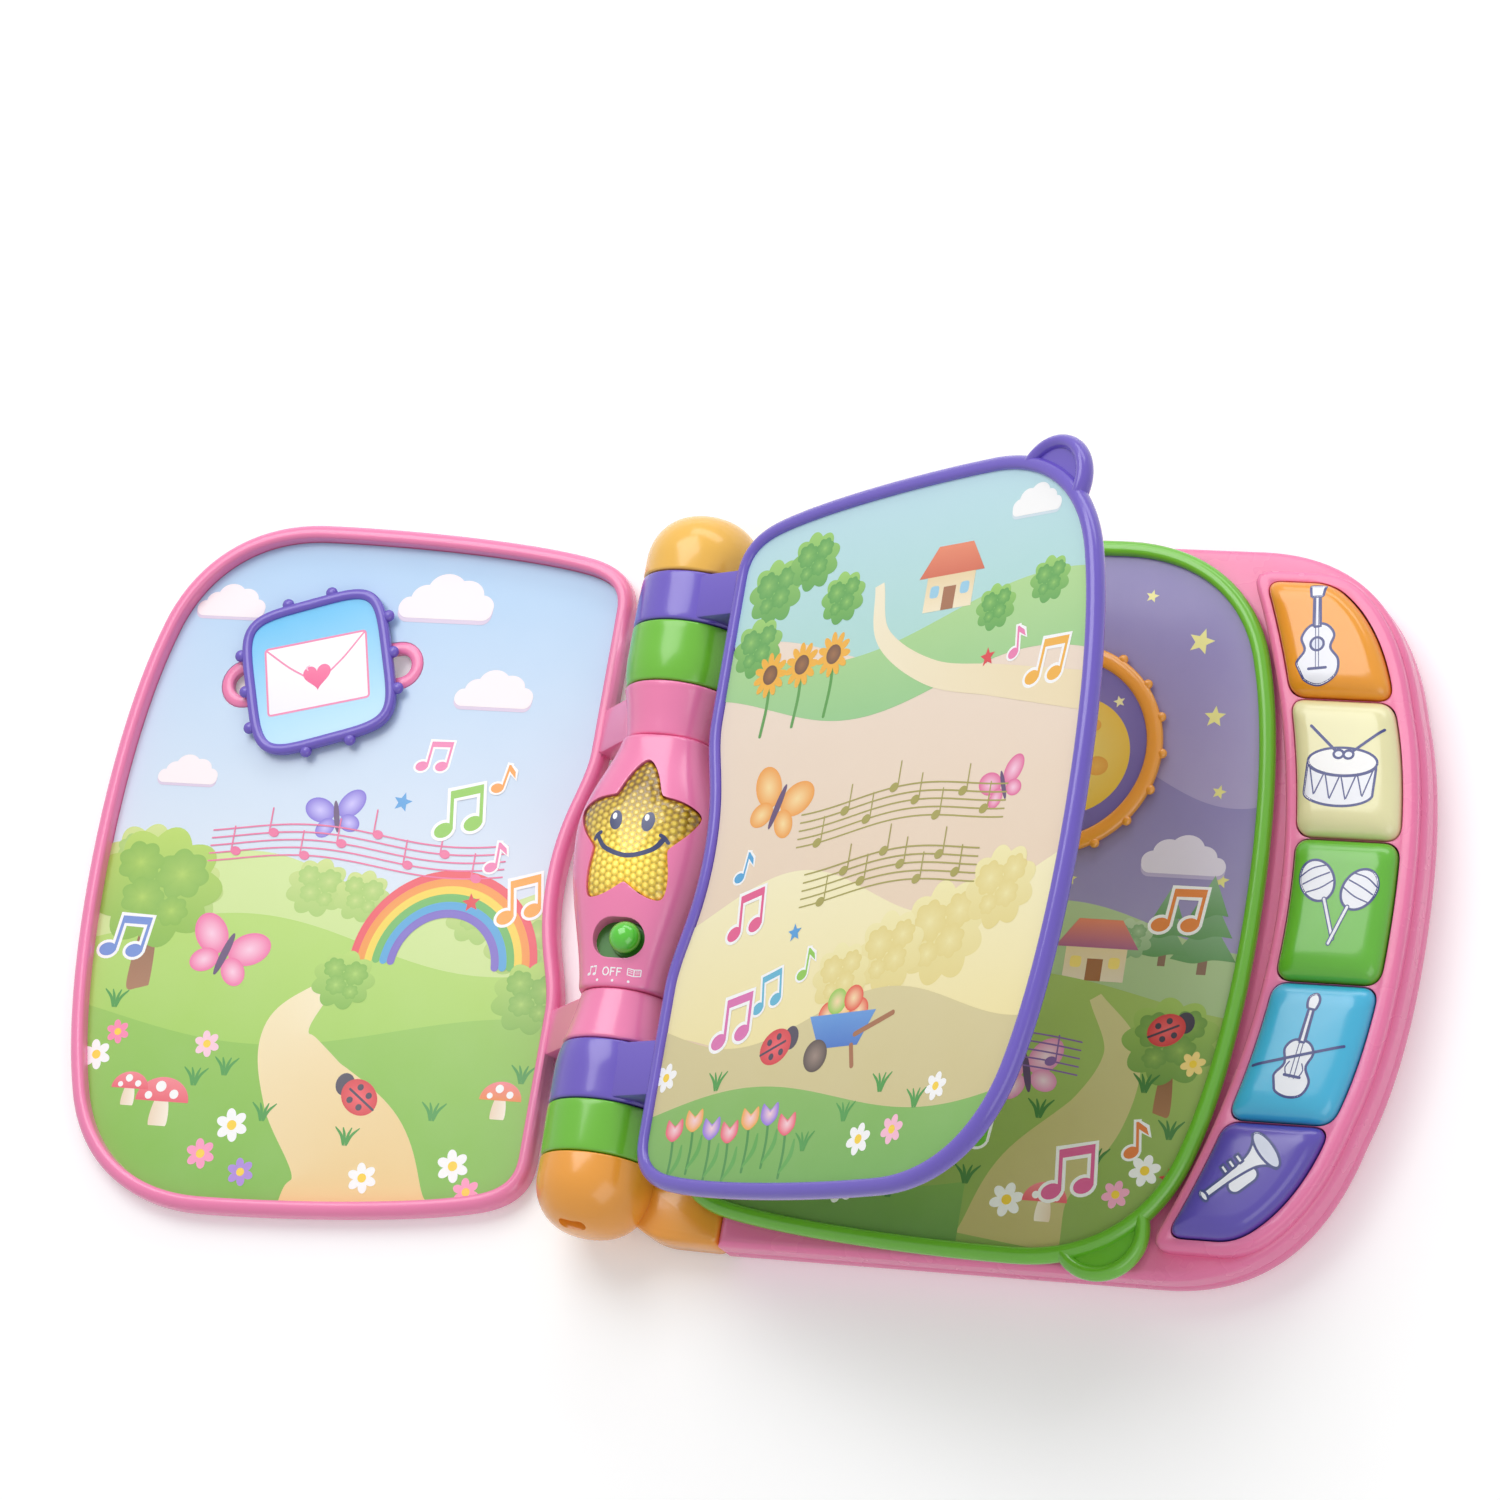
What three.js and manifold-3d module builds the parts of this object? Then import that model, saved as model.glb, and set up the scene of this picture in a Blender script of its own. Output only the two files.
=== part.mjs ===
// A nursery sound book lying open: a pink keyed base, a ring-hinged spine with a star light,
// two thick turning pages and a cover. Millimetres, +Z up, Y along the spine.
import * as THREE from 'three';
import Module from 'manifold-3d';
import { mergeVertices } from 'three/addons/utils/BufferGeometryUtils.js';

const wasm = await Module();
wasm.setup();

// Driving sizes
const pageReach = 200;
const pageHalfHeight = 115.5;
const pageInner = 28;
const pageScoop = 7.5;
const pageThickness = 6;
const coverThickness = 8;
const pageGap = 0.6;
const rimWidth = 4.8;
const rimRound = 2.8;
const webThickness = 1.5;
const cardThickness = 0.4;
const purpleTurn = 27.5;

const baseReach = 247.5;
const baseHalfHeight = 116;
const baseInner = 29;
const deckHeight = 17.5;
const partingHeight = 9;
const wall = 2.2;
const seatGap = 0.3;
const crescentRise = 5;
const crescentInner = 204.8;
const crescentBow = 0.0021;
const crescentHalf = 108;
const rimMargin = 1.6;

const keyDome = 4.8;
const keyTravel = 2;
const keyOuterInset = 6.5;
const keyInnerMargin = 4.2;
const keyFlange = 1.2;
const keyGap = 1.1;
const keySideGap = keyGap / 2 + 0.05;
const keySplitInner = 22.7;
const keySplitOuter = 66.9;
const keyEnd = 104.5;
const keyHollow = 0.86;

const slotEdges = [41.3, 58.3, 78, 94.6];
const ringMax = 18.8;
const ringMin = 14.6;
const tubeRadius = 10.5;
const runningGap = 0.4;
const capEnd = 117.2;
const armReach = 41.5;
const armLow = 4;

const housingHalfWidth = 24.4;
const housingRise = 21;
const housingPeak = 9;
const starCentre = 7;
const starRadius = 23.5;
const starStretch = 1.12;
const starSqueeze = 0.93;

const switchPlace = -26;
const switchTravel = 5.2;
const knobRadius = 5;

const tileSize = 51;
const tilePlace = [132.5, 65.4];
const tileTilt = -18;
const tilePower = 4.5;
const slideTilt = -9.3;
const beadRadius = 2.1;
const slideTravel = 10;
const bezelLength = 70;
const bezelWidth = 16;

const dialPlace = [127.4, 46.8];
const dialRadius = 34;
const dialLobes = 9;
const dialLobeHeight = 1.8;
const dialProud = 0.5;
const retainerThickness = 0.9;

const earRadius = 15.5;
const earPlace = [pageReach - 35, 103.5];

// Heights that follow from the driving sizes
const axisHeight = (deckHeight + 2 * (pageThickness + pageGap) + coverThickness + pageGap) / 2;
const greenOffset = deckHeight + pageGap + pageThickness / 2 - axisHeight;
const purpleOffset = greenOffset + pageThickness + pageGap;
const coverOffset = purpleOffset + pageThickness / 2 + pageGap + coverThickness / 2;
const crescentTop = deckHeight + crescentRise;
const ringClearance = seatGap / 2;

const part = new THREE.Group();
part.position.x = -(baseReach - pageReach) / 2;
const degrees = THREE.MathUtils.degToRad;

function paint(colour, roughness = 0.35, metalness = 0) {
  return new THREE.MeshStandardMaterial({ color: new THREE.Color(colour), roughness, metalness });
}

const paints = {
  pink: paint('#f887b9', 0.25),
  purple: paint('#6c58be', 0.25),
  green: paint('#76c63a', 0.25),
  orange: paint('#faaf3c', 0.25),
  cream: paint('#ebe6b4', 0.3),
  cyan: paint('#46bee1', 0.3),
  violet: paint('#5a46aa', 0.3),
  lens: paint('#e6c828', 0.1),
  sky: paint('#bfdcf2', 0.6),
  peach: paint('#ebd2b9', 0.6),
  dusk: paint('#8078b4', 0.6),
  meadow: paint('#aacd5a', 0.6),
  grey: paint('#8c8c90', 0.6),
  board: paint('#2f7a4a', 0.6),
  steel: paint('#b9bcc2', 0.35, 0.9),
  black: paint('#2b2b2e', 0.6),
};

// Signed volume of a triangle soup; a negative one means that the faces point inwards.
function signedVolume(geometry) {
  const place = geometry.attributes.position;
  const order = geometry.index.array;
  const [a, b, c] = [new THREE.Vector3(), new THREE.Vector3(), new THREE.Vector3()];
  let sum = 0;
  for (let i = 0; i < order.length; i += 3) {
    a.fromBufferAttribute(place, order[i]);
    b.fromBufferAttribute(place, order[i + 1]);
    c.fromBufferAttribute(place, order[i + 2]);
    sum += a.dot(b.cross(c)) / 6;
  }
  return sum;
}

function solid(geometry) {
  const bare = geometry.clone();
  bare.deleteAttribute('normal');
  bare.deleteAttribute('uv');
  const merged = mergeVertices(bare, 1e-4);
  const order = Uint32Array.from(merged.index.array);
  if (signedVolume(merged) < 0) order.reverse();
  const vertProperties = Float32Array.from(merged.attributes.position.array);
  return new wasm.Manifold(new wasm.Mesh({ numProp: 3, vertProperties, triVerts: order }));
}

function addMesh(name, shape, material, parent = part) {
  const { vertProperties, triVerts } = shape.getMesh();
  const geometry = new THREE.BufferGeometry();
  geometry.setAttribute('position', new THREE.BufferAttribute(Float32Array.from(vertProperties), 3));
  geometry.setIndex(new THREE.BufferAttribute(Uint32Array.from(triVerts), 1));
  geometry.computeVertexNormals();
  const mesh = new THREE.Mesh(geometry, material);
  mesh.name = name;
  parent.add(mesh);
  return mesh;
}

function joined(...shapes) {
  return shapes.reduce((whole, shape) => whole.add(shape));
}

// Outward miter direction at each point of a closed anticlockwise outline.
function miters(points) {
  const count = points.length;
  return points.map((point, i) => {
    const before = points[(i + count - 1) % count];
    const after = points[(i + 1) % count];
    const first = new THREE.Vector2(point.y - before.y, before.x - point.x).normalize();
    const second = new THREE.Vector2(after.y - point.y, point.x - after.x).normalize();
    const middle = first.clone().add(second).normalize();
    return middle.divideScalar(Math.max(0.6, middle.dot(first)));
  });
}

function inset(points, amount) {
  const outward = miters(points);
  return points.map((point, i) => point.clone().addScaledVector(outward[i], -amount));
}

function centre(points) {
  return points.reduce((sum, point) => sum.add(point), new THREE.Vector2()).divideScalar(points.length);
}

// A solid stacked from one outline: each profile entry is [inset, height, scale], from the bottom up.
// The scale draws a level towards the outline's centre, as on a pillowed key.
function slab(points, profile) {
  const middle = centre(points);
  const levels = profile.map(([amount, height, scale = 1]) => ({
    height,
    outline: inset(points, amount).map((point) => point.sub(middle).multiplyScalar(scale).add(middle)),
  }));
  const count = points.length;
  const vertices = levels.flatMap(({ outline, height }) => outline.flatMap(({ x, y }) => [x, y, height]));
  const faces = [];
  for (let level = 0; level + 1 < profile.length; level += 1) {
    for (let i = 0; i < count; i += 1) {
      const here = level * count + i;
      const next = level * count + (i + 1) % count;
      faces.push(here, next, next + count, here, next + count, here + count);
    }
  }
  const top = (profile.length - 1) * count;
  for (const [a, b, c] of THREE.ShapeUtils.triangulateShape(levels[0].outline, [])) {
    faces.push(a, c, b);
  }
  for (const [a, b, c] of THREE.ShapeUtils.triangulateShape(levels.at(-1).outline, [])) {
    faces.push(top + a, top + b, top + c);
  }
  const geometry = new THREE.BufferGeometry();
  geometry.setAttribute('position', new THREE.Float32BufferAttribute(vertices, 3));
  geometry.setIndex(faces);
  return geometry;
}

function prism(points, low, high) {
  return solid(slab(points, [[0, low], [0, high]]));
}

function box(x0, x1, y0, y1, z0, z1) {
  const geometry = new THREE.BoxGeometry(x1 - x0, y1 - y0, z1 - z0);
  return solid(geometry.translate((x0 + x1) / 2, (y0 + y1) / 2, (z0 + z1) / 2));
}

// A round bar, or a cone where the second radius differs, standing on its low end.
function rod(x, y, low, high, radius, sides = 16, topRadius = radius) {
  const geometry = new THREE.CylinderGeometry(topRadius, radius, high - low, sides);
  return solid(geometry.rotateX(Math.PI / 2).translate(x, y, (low + high) / 2));
}

// Closed outline through [x, y, corner radius] entries; a corner is a quadratic arc.
function roundPath(corners, steps = 3) {
  const points = [];
  const count = corners.length;
  corners.forEach(([x, y, radius], i) => {
    const here = new THREE.Vector2(x, y);
    if (!radius) {
      points.push(here);
      return;
    }
    const before = new THREE.Vector2(...corners[(i + count - 1) % count]);
    const after = new THREE.Vector2(...corners[(i + 1) % count]);
    const start = here.clone().add(before.sub(here).setLength(radius));
    const end = here.clone().add(after.sub(here).setLength(radius));
    points.push(...new THREE.QuadraticBezierCurve(start, here, end).getPoints(steps));
  });
  return points;
}

function circlePoints(x, y, radius, sides) {
  return Array.from({ length: sides }, (_, i) => {
    const angle = (2 * Math.PI * i) / sides;
    return new THREE.Vector2(x + radius * Math.cos(angle), y + radius * Math.sin(angle));
  });
}

// An outline in X and height carried along the spine from y0 to y1.
function alongSpine(points, y0, y1) {
  return solid(slab(points, [[0, -y1], [0, -y0]]).rotateX(Math.PI / 2));
}

function latheAlongSpine(profile, sides = 20) {
  const points = profile.map(([radius, y]) => new THREE.Vector2(radius, y));
  return solid(new THREE.LatheGeometry(points, sides));
}

// Mirrors the upper half of an outline, given from +X round to -X, into a closed one.
function mirrored(upper) {
  const lower = upper.filter((point) => point.y > 1e-6).map((point) => new THREE.Vector2(point.x, -point.y));
  return [...upper, ...lower.reverse()];
}

function curvePoints(steps, ...numbers) {
  const ends = [];
  for (let i = 0; i < numbers.length; i += 2) ends.push(new THREE.Vector2(numbers[i], numbers[i + 1]));
  return new THREE.CubicBezierCurve(...ends).getPoints(steps).slice(1);
}

// Page outline: bowed outer side, large outer corners, eased spine corners and a scoop for the star.
function pageOutline(margin) {
  const reach = pageReach - margin;
  const top = pageHalfHeight - margin;
  const inner = pageInner + margin;
  const scoop = inner + pageScoop;
  const cornerX = reach - 9 + 0.08 * margin;
  const cornerY = top - 37.5 + 0.55 * margin;
  const upper = [new THREE.Vector2(reach, 0)];
  upper.push(...curvePoints(3, reach, 0, reach, 30, reach - 3, 58, cornerX, cornerY));
  upper.push(...curvePoints(5, cornerX, cornerY, reach - 15, top - 15.5, reach - 33, top, reach - 61, top));
  upper.push(...curvePoints(2, reach - 61, top, reach - 88, top, inner + 37, top - 2.5, inner + 16, top - 7.5));
  upper.push(...curvePoints(3, inner + 16, top - 7.5, inner + 6, top - 10, inner, top - 15, inner, top - 25));
  upper.push(...curvePoints(4, inner, 44, inner, 30, scoop, 22, scoop, 0));
  return mirrored(upper);
}

// Base outline: bowed keyed side, and a notch at each spine corner for the arm of the end cap.
function baseOutline() {
  const reach = baseReach;
  const top = baseHalfHeight;
  const notch = armReach + seatGap;
  const upper = [new THREE.Vector2(reach, 0)];
  upper.push(...curvePoints(4, reach, 0, reach, 28, reach - 3, 50, reach - 9, top - 49));
  upper.push(...curvePoints(7, reach - 9, top - 49, reach - 16, top - 22, reach - 31, top, reach - 66, top));
  upper.push(new THREE.Vector2(notch, top));
  upper.push(new THREE.Vector2(notch, slotEdges[3] + 3));
  upper.push(new THREE.Vector2(baseInner, slotEdges[3] + 3));
  upper.push(new THREE.Vector2(baseInner, 0));
  const lower = upper.filter((point) => point.y > 1e-6).map((point) => new THREE.Vector2(point.x, -point.y));
  return [...upper, ...lower.reverse()];
}

const basePlan = baseOutline();

// X of an outline's outer side at a given Y.
function outerX(points, y) {
  let best = -Infinity;
  points.forEach((point, i) => {
    const next = points[(i + 1) % points.length];
    if ((point.y - y) * (next.y - y) <= 0 && point.y !== next.y) {
      const share = (y - point.y) / (next.y - point.y);
      best = Math.max(best, point.x + share * (next.x - point.x));
    }
  });
  return best;
}

// Piece of the key crescent between two Y values: parabola inside, the base's own curve outside.
function crescentPiece(innerMargin, outerInset, low, high, radius, samples = 4) {
  const outer = inset(basePlan, outerInset);
  const innerX = (y) => crescentInner + innerMargin - crescentBow * y * y;
  const corners = [];
  for (let i = 0; i <= samples; i += 1) {
    const y = low + ((high - low) * i) / samples;
    const corner = i === 0 || i === samples;
    corners.push([outerX(outer, y), y, corner ? radius : 0]);
  }
  for (let i = samples; i >= 0; i -= 1) {
    const y = low + ((high - low) * i) / samples;
    const corner = i === 0 || i === samples;
    corners.push([innerX(y), y, corner ? radius : 0]);
  }
  return roundPath(corners);
}

const keys = [
  { name: 'key_orange', low: keySplitOuter, high: keyEnd, material: paints.orange },
  { name: 'key_cream', low: keySplitInner, high: keySplitOuter, material: paints.cream },
  { name: 'key_green', low: -keySplitInner, high: keySplitInner, material: paints.green },
  { name: 'key_cyan', low: -keySplitOuter, high: -keySplitInner, material: paints.cyan },
  { name: 'key_purple', low: -keyEnd, high: -keySplitOuter, material: paints.violet },
];

function keyOutline(key) {
  return crescentPiece(keyInnerMargin, keyOuterInset, key.low + keyGap / 2, key.high - keyGap / 2, 5);
}

function keyStemPlace(key) {
  const y = (key.low + key.high) / 2 * 0.97;
  const outer = outerX(inset(basePlan, keyOuterInset), y);
  const inner = crescentInner + keyInnerMargin - crescentBow * y * y;
  return [(outer + inner) / 2, y];
}

// Base interior places
const speakerPlace = [95, -52];
const speakerRadius = 25;
const speakerDepth = 6.3;
const magnetDepth = 5;
const batteryPlace = [94, 50];
const batteryRadius = 5.2;
const batteryLength = 44.5;
const pocketLength = batteryLength + 5.6;
const pocketWidth = 4 * batteryRadius + 3;
const pocketRoof = 13.4;
const pocketRoofThickness = 1.5;
const doorThickness = 2;
const doorMargin = 2.5;
const doorTab = 9;
const screwPlaces = [[45, 84], [45, -84], [160, 98], [160, -98]];
const screwShank = 1.5;
const screwHead = 3;
const screwLength = deckHeight - wall - 2.7;
const boardHeight = 8;
const boardThickness = 1.6;
const sheetThickness = 1.4;
const collarHeight = 3.4;
const stemRadius = 4;
const stemGap = 0.5;
const bracketHalf = 30;
const bracketLow = 4;
const bracketHigh = 13;
const bracketReach = 40;

function pocketEnds() {
  return [batteryPlace[0] - pocketLength / 2, batteryPlace[0] + pocketLength / 2];
}

function makeLowerShell() {
  const edge = [[5, 0], [2.4, 0.7], [0.7, 2.4], [0, 5], [0, partingHeight - seatGap / 2]];
  let shell = solid(slab(basePlan, edge));
  shell = shell.subtract(prism(inset(basePlan, wall), wall, partingHeight + 1));
  const [low, high] = pocketEnds();
  const half = pocketWidth / 2;
  const [, middle] = batteryPlace;
  shell = joined(
    shell,
    box(low - wall, high + wall, middle - half - wall, middle + half + wall, 0.5, pocketRoof + pocketRoofThickness),
    box(high, high + doorTab + wall, middle - 6, middle + 6, 0.5, 10),
  );
  shell = shell.subtract(box(low, high, middle - half, middle + half, -1, pocketRoof));
  const door = doorOutline(0);
  shell = shell.subtract(prism(door, -1, doorThickness + 2 * seatGap));
  shell = shell.subtract(rod(high + doorTab / 2, middle, 0, 9, screwShank - 0.3 + seatGap, 10));
  shell = shell.add(
    prism(circlePoints(...speakerPlace, speakerRadius + wall, 28), 1, 6)
      .subtract(prism(circlePoints(...speakerPlace, speakerRadius + seatGap, 28), wall, 7)),
  );
  for (const [x, y] of speakerHoles()) shell = shell.subtract(rod(x, y, -1, wall + 1, 1.6, 6));
  for (const [x, y] of screwPlaces) {
    shell = shell.add(rod(x, y, 1, partingHeight - seatGap / 2, 4.8, 12));
    shell = shell.subtract(rod(x, y, -1, partingHeight + 1, screwShank + seatGap, 8));
    shell = shell.subtract(rod(x, y, -1, 2.8 + seatGap, screwHead + seatGap, 12));
  }
  for (const [x, y] of boardPosts()) shell = shell.add(rod(x, y, 1, boardHeight - seatGap, 3, 8));
  return shell.subtract(bracketWindow());
}

function doorOutline(clearance) {
  const [low, high] = pocketEnds();
  const half = pocketWidth / 2 + doorMargin - clearance;
  const [, middle] = batteryPlace;
  const right = high + doorTab - clearance;
  const left = low - 1.2 + clearance;
  return roundPath([
    [right, middle + half, 3], [left, middle + half, 3], [left, middle - half, 3], [right, middle - half, 3],
  ]);
}

function speakerHoles() {
  const holes = [speakerPlace];
  for (const [count, radius] of [[6, 7], [10, 14]]) {
    for (let i = 0; i < count; i += 1) {
      const angle = (2 * Math.PI * i) / count;
      holes.push([speakerPlace[0] + radius * Math.cos(angle), speakerPlace[1] + radius * Math.sin(angle)]);
    }
  }
  return holes;
}

function boardPosts() {
  return [-84, -44, 0, 44, 84].map((y) => [crescentInner + 11 - crescentBow * y * y, y]);
}

function bracketWindow() {
  const gap = seatGap;
  return box(
    baseInner - 2, baseInner + wall + 2,
    -bracketHalf - gap, bracketHalf + gap, bracketLow - gap, bracketHigh + gap,
  );
}

function makeUpperShell() {
  const low = partingHeight + seatGap / 2;
  const edge = [[0, low], [0, deckHeight - 3], [0.5, deckHeight - 1.2], [1.6, deckHeight - 0.2], [2.6, deckHeight]];
  const crescent = crescentPiece(0, rimMargin, -crescentHalf, crescentHalf, 7, 18);
  const crescentEdge = [[0, deckHeight - 4], [0, crescentTop - 2], [0.6, crescentTop - 0.6], [2, crescentTop]];
  let shell = joined(solid(slab(basePlan, edge)), solid(slab(crescent, crescentEdge)));
  shell = shell.subtract(prism(inset(basePlan, wall), 0, deckHeight - wall));
  shell = shell.subtract(prism(inset(crescent, wall), deckHeight - wall - 1, crescentTop - wall));
  shell = shell.subtract(prism(pageOutline(rimWidth), deckHeight - 1, deckHeight + 0.6));
  for (const key of keys) {
    shell = shell.subtract(prism(inset(keyOutline(key), -keySideGap), deckHeight, crescentTop + 1));
  }
  for (const [x, y] of screwPlaces) {
    shell = shell.add(rod(x, y, low, deckHeight - wall + 0.1, 4.4, 12));
    shell = shell.subtract(rod(x, y, low - 1, deckHeight - wall - 1, screwShank + 0.3, 8));
  }
  return shell.subtract(bracketWindow());
}

function makeKey(key) {
  const outline = keyOutline(key);
  const roof = crescentTop - wall;
  const flange = roof - seatGap - 1.5;
  const top = crescentTop + keyDome;
  let shape = solid(slab(outline, [
    [0, flange], [0, crescentTop + 0.8],
    [0.9, crescentTop + 2.6], [1.5, top - 1.3, 0.95], [1.5, top - 0.4, 0.84], [1.5, top, 0.66],
  ]));
  const flangePlan = crescentPiece(
    keyInnerMargin - keyFlange, keyOuterInset - keyFlange, key.low + keyGap / 2, key.high - keyGap / 2, 5,
  );
  shape = shape.add(prism(flangePlan, flange, roof - seatGap));
  const hollow = [[0.4, flange - 1, keyHollow], [0.4, crescentTop - 0.4, keyHollow]];
  shape = shape.subtract(solid(slab(outline, hollow)));
  const [x, y] = keyStemPlace(key);
  const stemLow = boardHeight + boardThickness + keyTravel + 0.8;
  return shape.add(rod(x, y, stemLow, crescentTop + 1, stemRadius, 12));
}

function makeKeySheet() {
  const low = boardHeight + boardThickness + seatGap;
  const plan = crescentPiece(keyInnerMargin + 4, keyOuterInset + 5, -92, 92, 5, 8);
  let sheet = prism(plan, low, low + sheetThickness);
  for (const key of keys) {
    const [x, y] = keyStemPlace(key);
    sheet = sheet.add(rod(x, y, low + 0.5, low + collarHeight, stemRadius + stemGap + 1.6, 12, stemRadius + 1.5));
    sheet = sheet.subtract(rod(x, y, low - 1, low + collarHeight + 1, stemRadius + stemGap, 12));
  }
  return sheet;
}

function makeScrew(x, y, low, length) {
  const head = rod(x, y, low, low + 2, screwHead, 8).subtract(rod(x, y, low - 1, low + 1.1, 1.1, 4));
  return head.add(rod(x, y, low + 1.5, low + length, screwShank, 6));
}

function makeSpeaker() {
  const [x, y] = speakerPlace;
  const low = wall + seatGap;
  const cone = rod(x, y, low, low + 2.5, speakerRadius, 20);
  const basket = rod(x, y, low + 2.4, low + speakerDepth, speakerRadius - 2, 20, 12);
  const hollow = rod(x, y, low - 1, low + speakerDepth - 1.8, speakerRadius - 2.5, 20, 7);
  return joined(cone, basket).subtract(hollow);
}

function addBase() {
  addMesh('base_lower_shell', makeLowerShell(), paints.pink);
  addMesh('base_upper_shell', makeUpperShell(), paints.pink);
  const cardLow = deckHeight - 1 + seatGap;
  addMesh('base_picture_card', prism(pageOutline(rimWidth + seatGap), cardLow, cardLow + cardThickness), paints.meadow);
  const board = crescentPiece(keyInnerMargin + 2, keyOuterInset + 4, -96, 96, 5, 8);
  addMesh('circuit_board', prism(board, boardHeight, boardHeight + boardThickness), paints.board);
  addMesh('key_contact_sheet', makeKeySheet(), paints.grey);
  addMesh('speaker', makeSpeaker(), paints.black);
  const magnetLow = wall + speakerDepth + 2 * seatGap;
  addMesh('speaker_magnet', rod(...speakerPlace, magnetLow, magnetLow + magnetDepth, 12, 24), paints.steel);
  const [low, high] = pocketEnds();
  const [, middle] = batteryPlace;
  const batteryAxis = doorThickness + 2 * seatGap + batteryRadius + 0.1;
  [-1, 1].forEach((side, i) => {
    const can = new THREE.CylinderGeometry(batteryRadius, batteryRadius, batteryLength - 1, 20);
    const nub = new THREE.CylinderGeometry(2.6, 2.6, 2, 12).translate(0, batteryLength / 2, 0);
    const cell = solid(can).add(solid(nub));
    const turned = cell.rotate([0, 0, side * 90]);
    const y = middle + side * (batteryRadius + 0.5);
    addMesh(`battery_${i + 1}`, turned.translate([batteryPlace[0], y, batteryAxis]), paints.steel);
  });
  const contactHalf = 2 * batteryRadius - 1;
  const contact = (x) => box(x, x + 0.6, middle - contactHalf, middle + contactHalf, 4, pocketRoof - 2);
  const coil = (x, reach, side) => {
    const cone = new THREE.CylinderGeometry(2.6, 4.2, Math.abs(reach), 12).rotateZ(-Math.sign(reach) * Math.PI / 2);
    return solid(cone.translate(x + reach / 2, middle + side * (batteryRadius + 0.5), batteryAxis));
  };
  addMesh('battery_spring_contact', contact(low + seatGap).add(coil(low + seatGap + 0.5, 2.2, -1)), paints.steel);
  addMesh('battery_plate_contact', contact(high - seatGap - 0.6).add(coil(high - seatGap - 0.5, -2.2, 1)), paints.steel);
  const doorScrewX = high + doorTab / 2;
  const door = prism(doorOutline(seatGap), seatGap, seatGap + doorThickness)
    .subtract(rod(doorScrewX, middle, -1, 1.3, screwHead - 0.4, 16))
    .subtract(rod(doorScrewX, middle, -1, 4, 1.5, 10));
  addMesh('battery_door', door, paints.pink);
  const doorScrew = rod(doorScrewX, middle, 0.1, 1, screwHead - 0.7, 12).add(rod(doorScrewX, middle, 0.5, 8, 1.1, 10));
  addMesh('battery_door_screw', doorScrew, paints.steel);
  screwPlaces.forEach(([x, y], i) => addMesh(`case_screw_${i + 1}`, makeScrew(x, y, 0.8, screwLength), paints.steel));
  for (const key of keys) addMesh(key.name, makeKey(key), key.material);
}

// Barrel shape of the spine: full near the ends, drawn in towards the star housing.
function spineRadius(y) {
  const share = THREE.MathUtils.smoothstep(y, slotEdges[0] - 2, slotEdges[1] + 9);
  const ease = Math.max(0, y - slotEdges[2]) / (slotEdges[3] - slotEdges[2]);
  return ringMin + (ringMax - ringMin) * share - 0.5 * ease * ease;
}

function makeRing(slot, side) {
  const low = slotEdges[slot] + ringClearance;
  const high = slotEdges[slot + 1] - ringClearance;
  const bore = tubeRadius + runningGap;
  const chamfer = 0.7;
  const profile = [[bore, low], [spineRadius(low) - chamfer, low]];
  for (const share of [0, 0.5, 1]) {
    const y = low + chamfer + (high - low - 2 * chamfer) * share;
    profile.push([spineRadius(y), y]);
  }
  profile.push([spineRadius(high) - chamfer, high], [bore, high], [bore, low]);
  const flipped = side < 0 ? profile.map(([radius, y]) => [radius, -y]).reverse() : profile;
  return latheAlongSpine(flipped);
}

// Smallest convex outline round a set of points, found by walking them from left to right twice.
function wrapped(points) {
  const sorted = [...points].sort((p, q) => p.x - q.x || p.y - q.y);
  const half = (list) => {
    const chain = [];
    for (const point of list) {
      while (chain.length > 1) {
        const [a, b] = [chain.at(-2), chain.at(-1)];
        if ((b.x - a.x) * (point.y - a.y) - (b.y - a.y) * (point.x - a.x) > 1e-9) break;
        chain.pop();
      }
      chain.push(point);
    }
    return chain.slice(0, -1);
  };
  return [...half(sorted), ...half(sorted.reverse())];
}

// Neck between a ring and its page: a belt round the ring's core and the page's edge.
function makeNeck(slot, side, offset, thickness) {
  const half = thickness / 2 - 0.9;
  const edge = [-half, half].flatMap((rise) => [
    new THREE.Vector2(pageInner - 2, offset + rise),
    new THREE.Vector2(pageInner + rimWidth / 2, offset + rise),
  ]);
  const belt = wrapped([...circlePoints(0, 0, ringMin - 1.4, 12), ...edge]);
  const [low, high] = [slotEdges[slot] + 1.2, slotEdges[slot + 1] - 1.2];
  return side > 0 ? alongSpine(belt, low, high) : alongSpine(belt, -high, -low);
}

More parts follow.
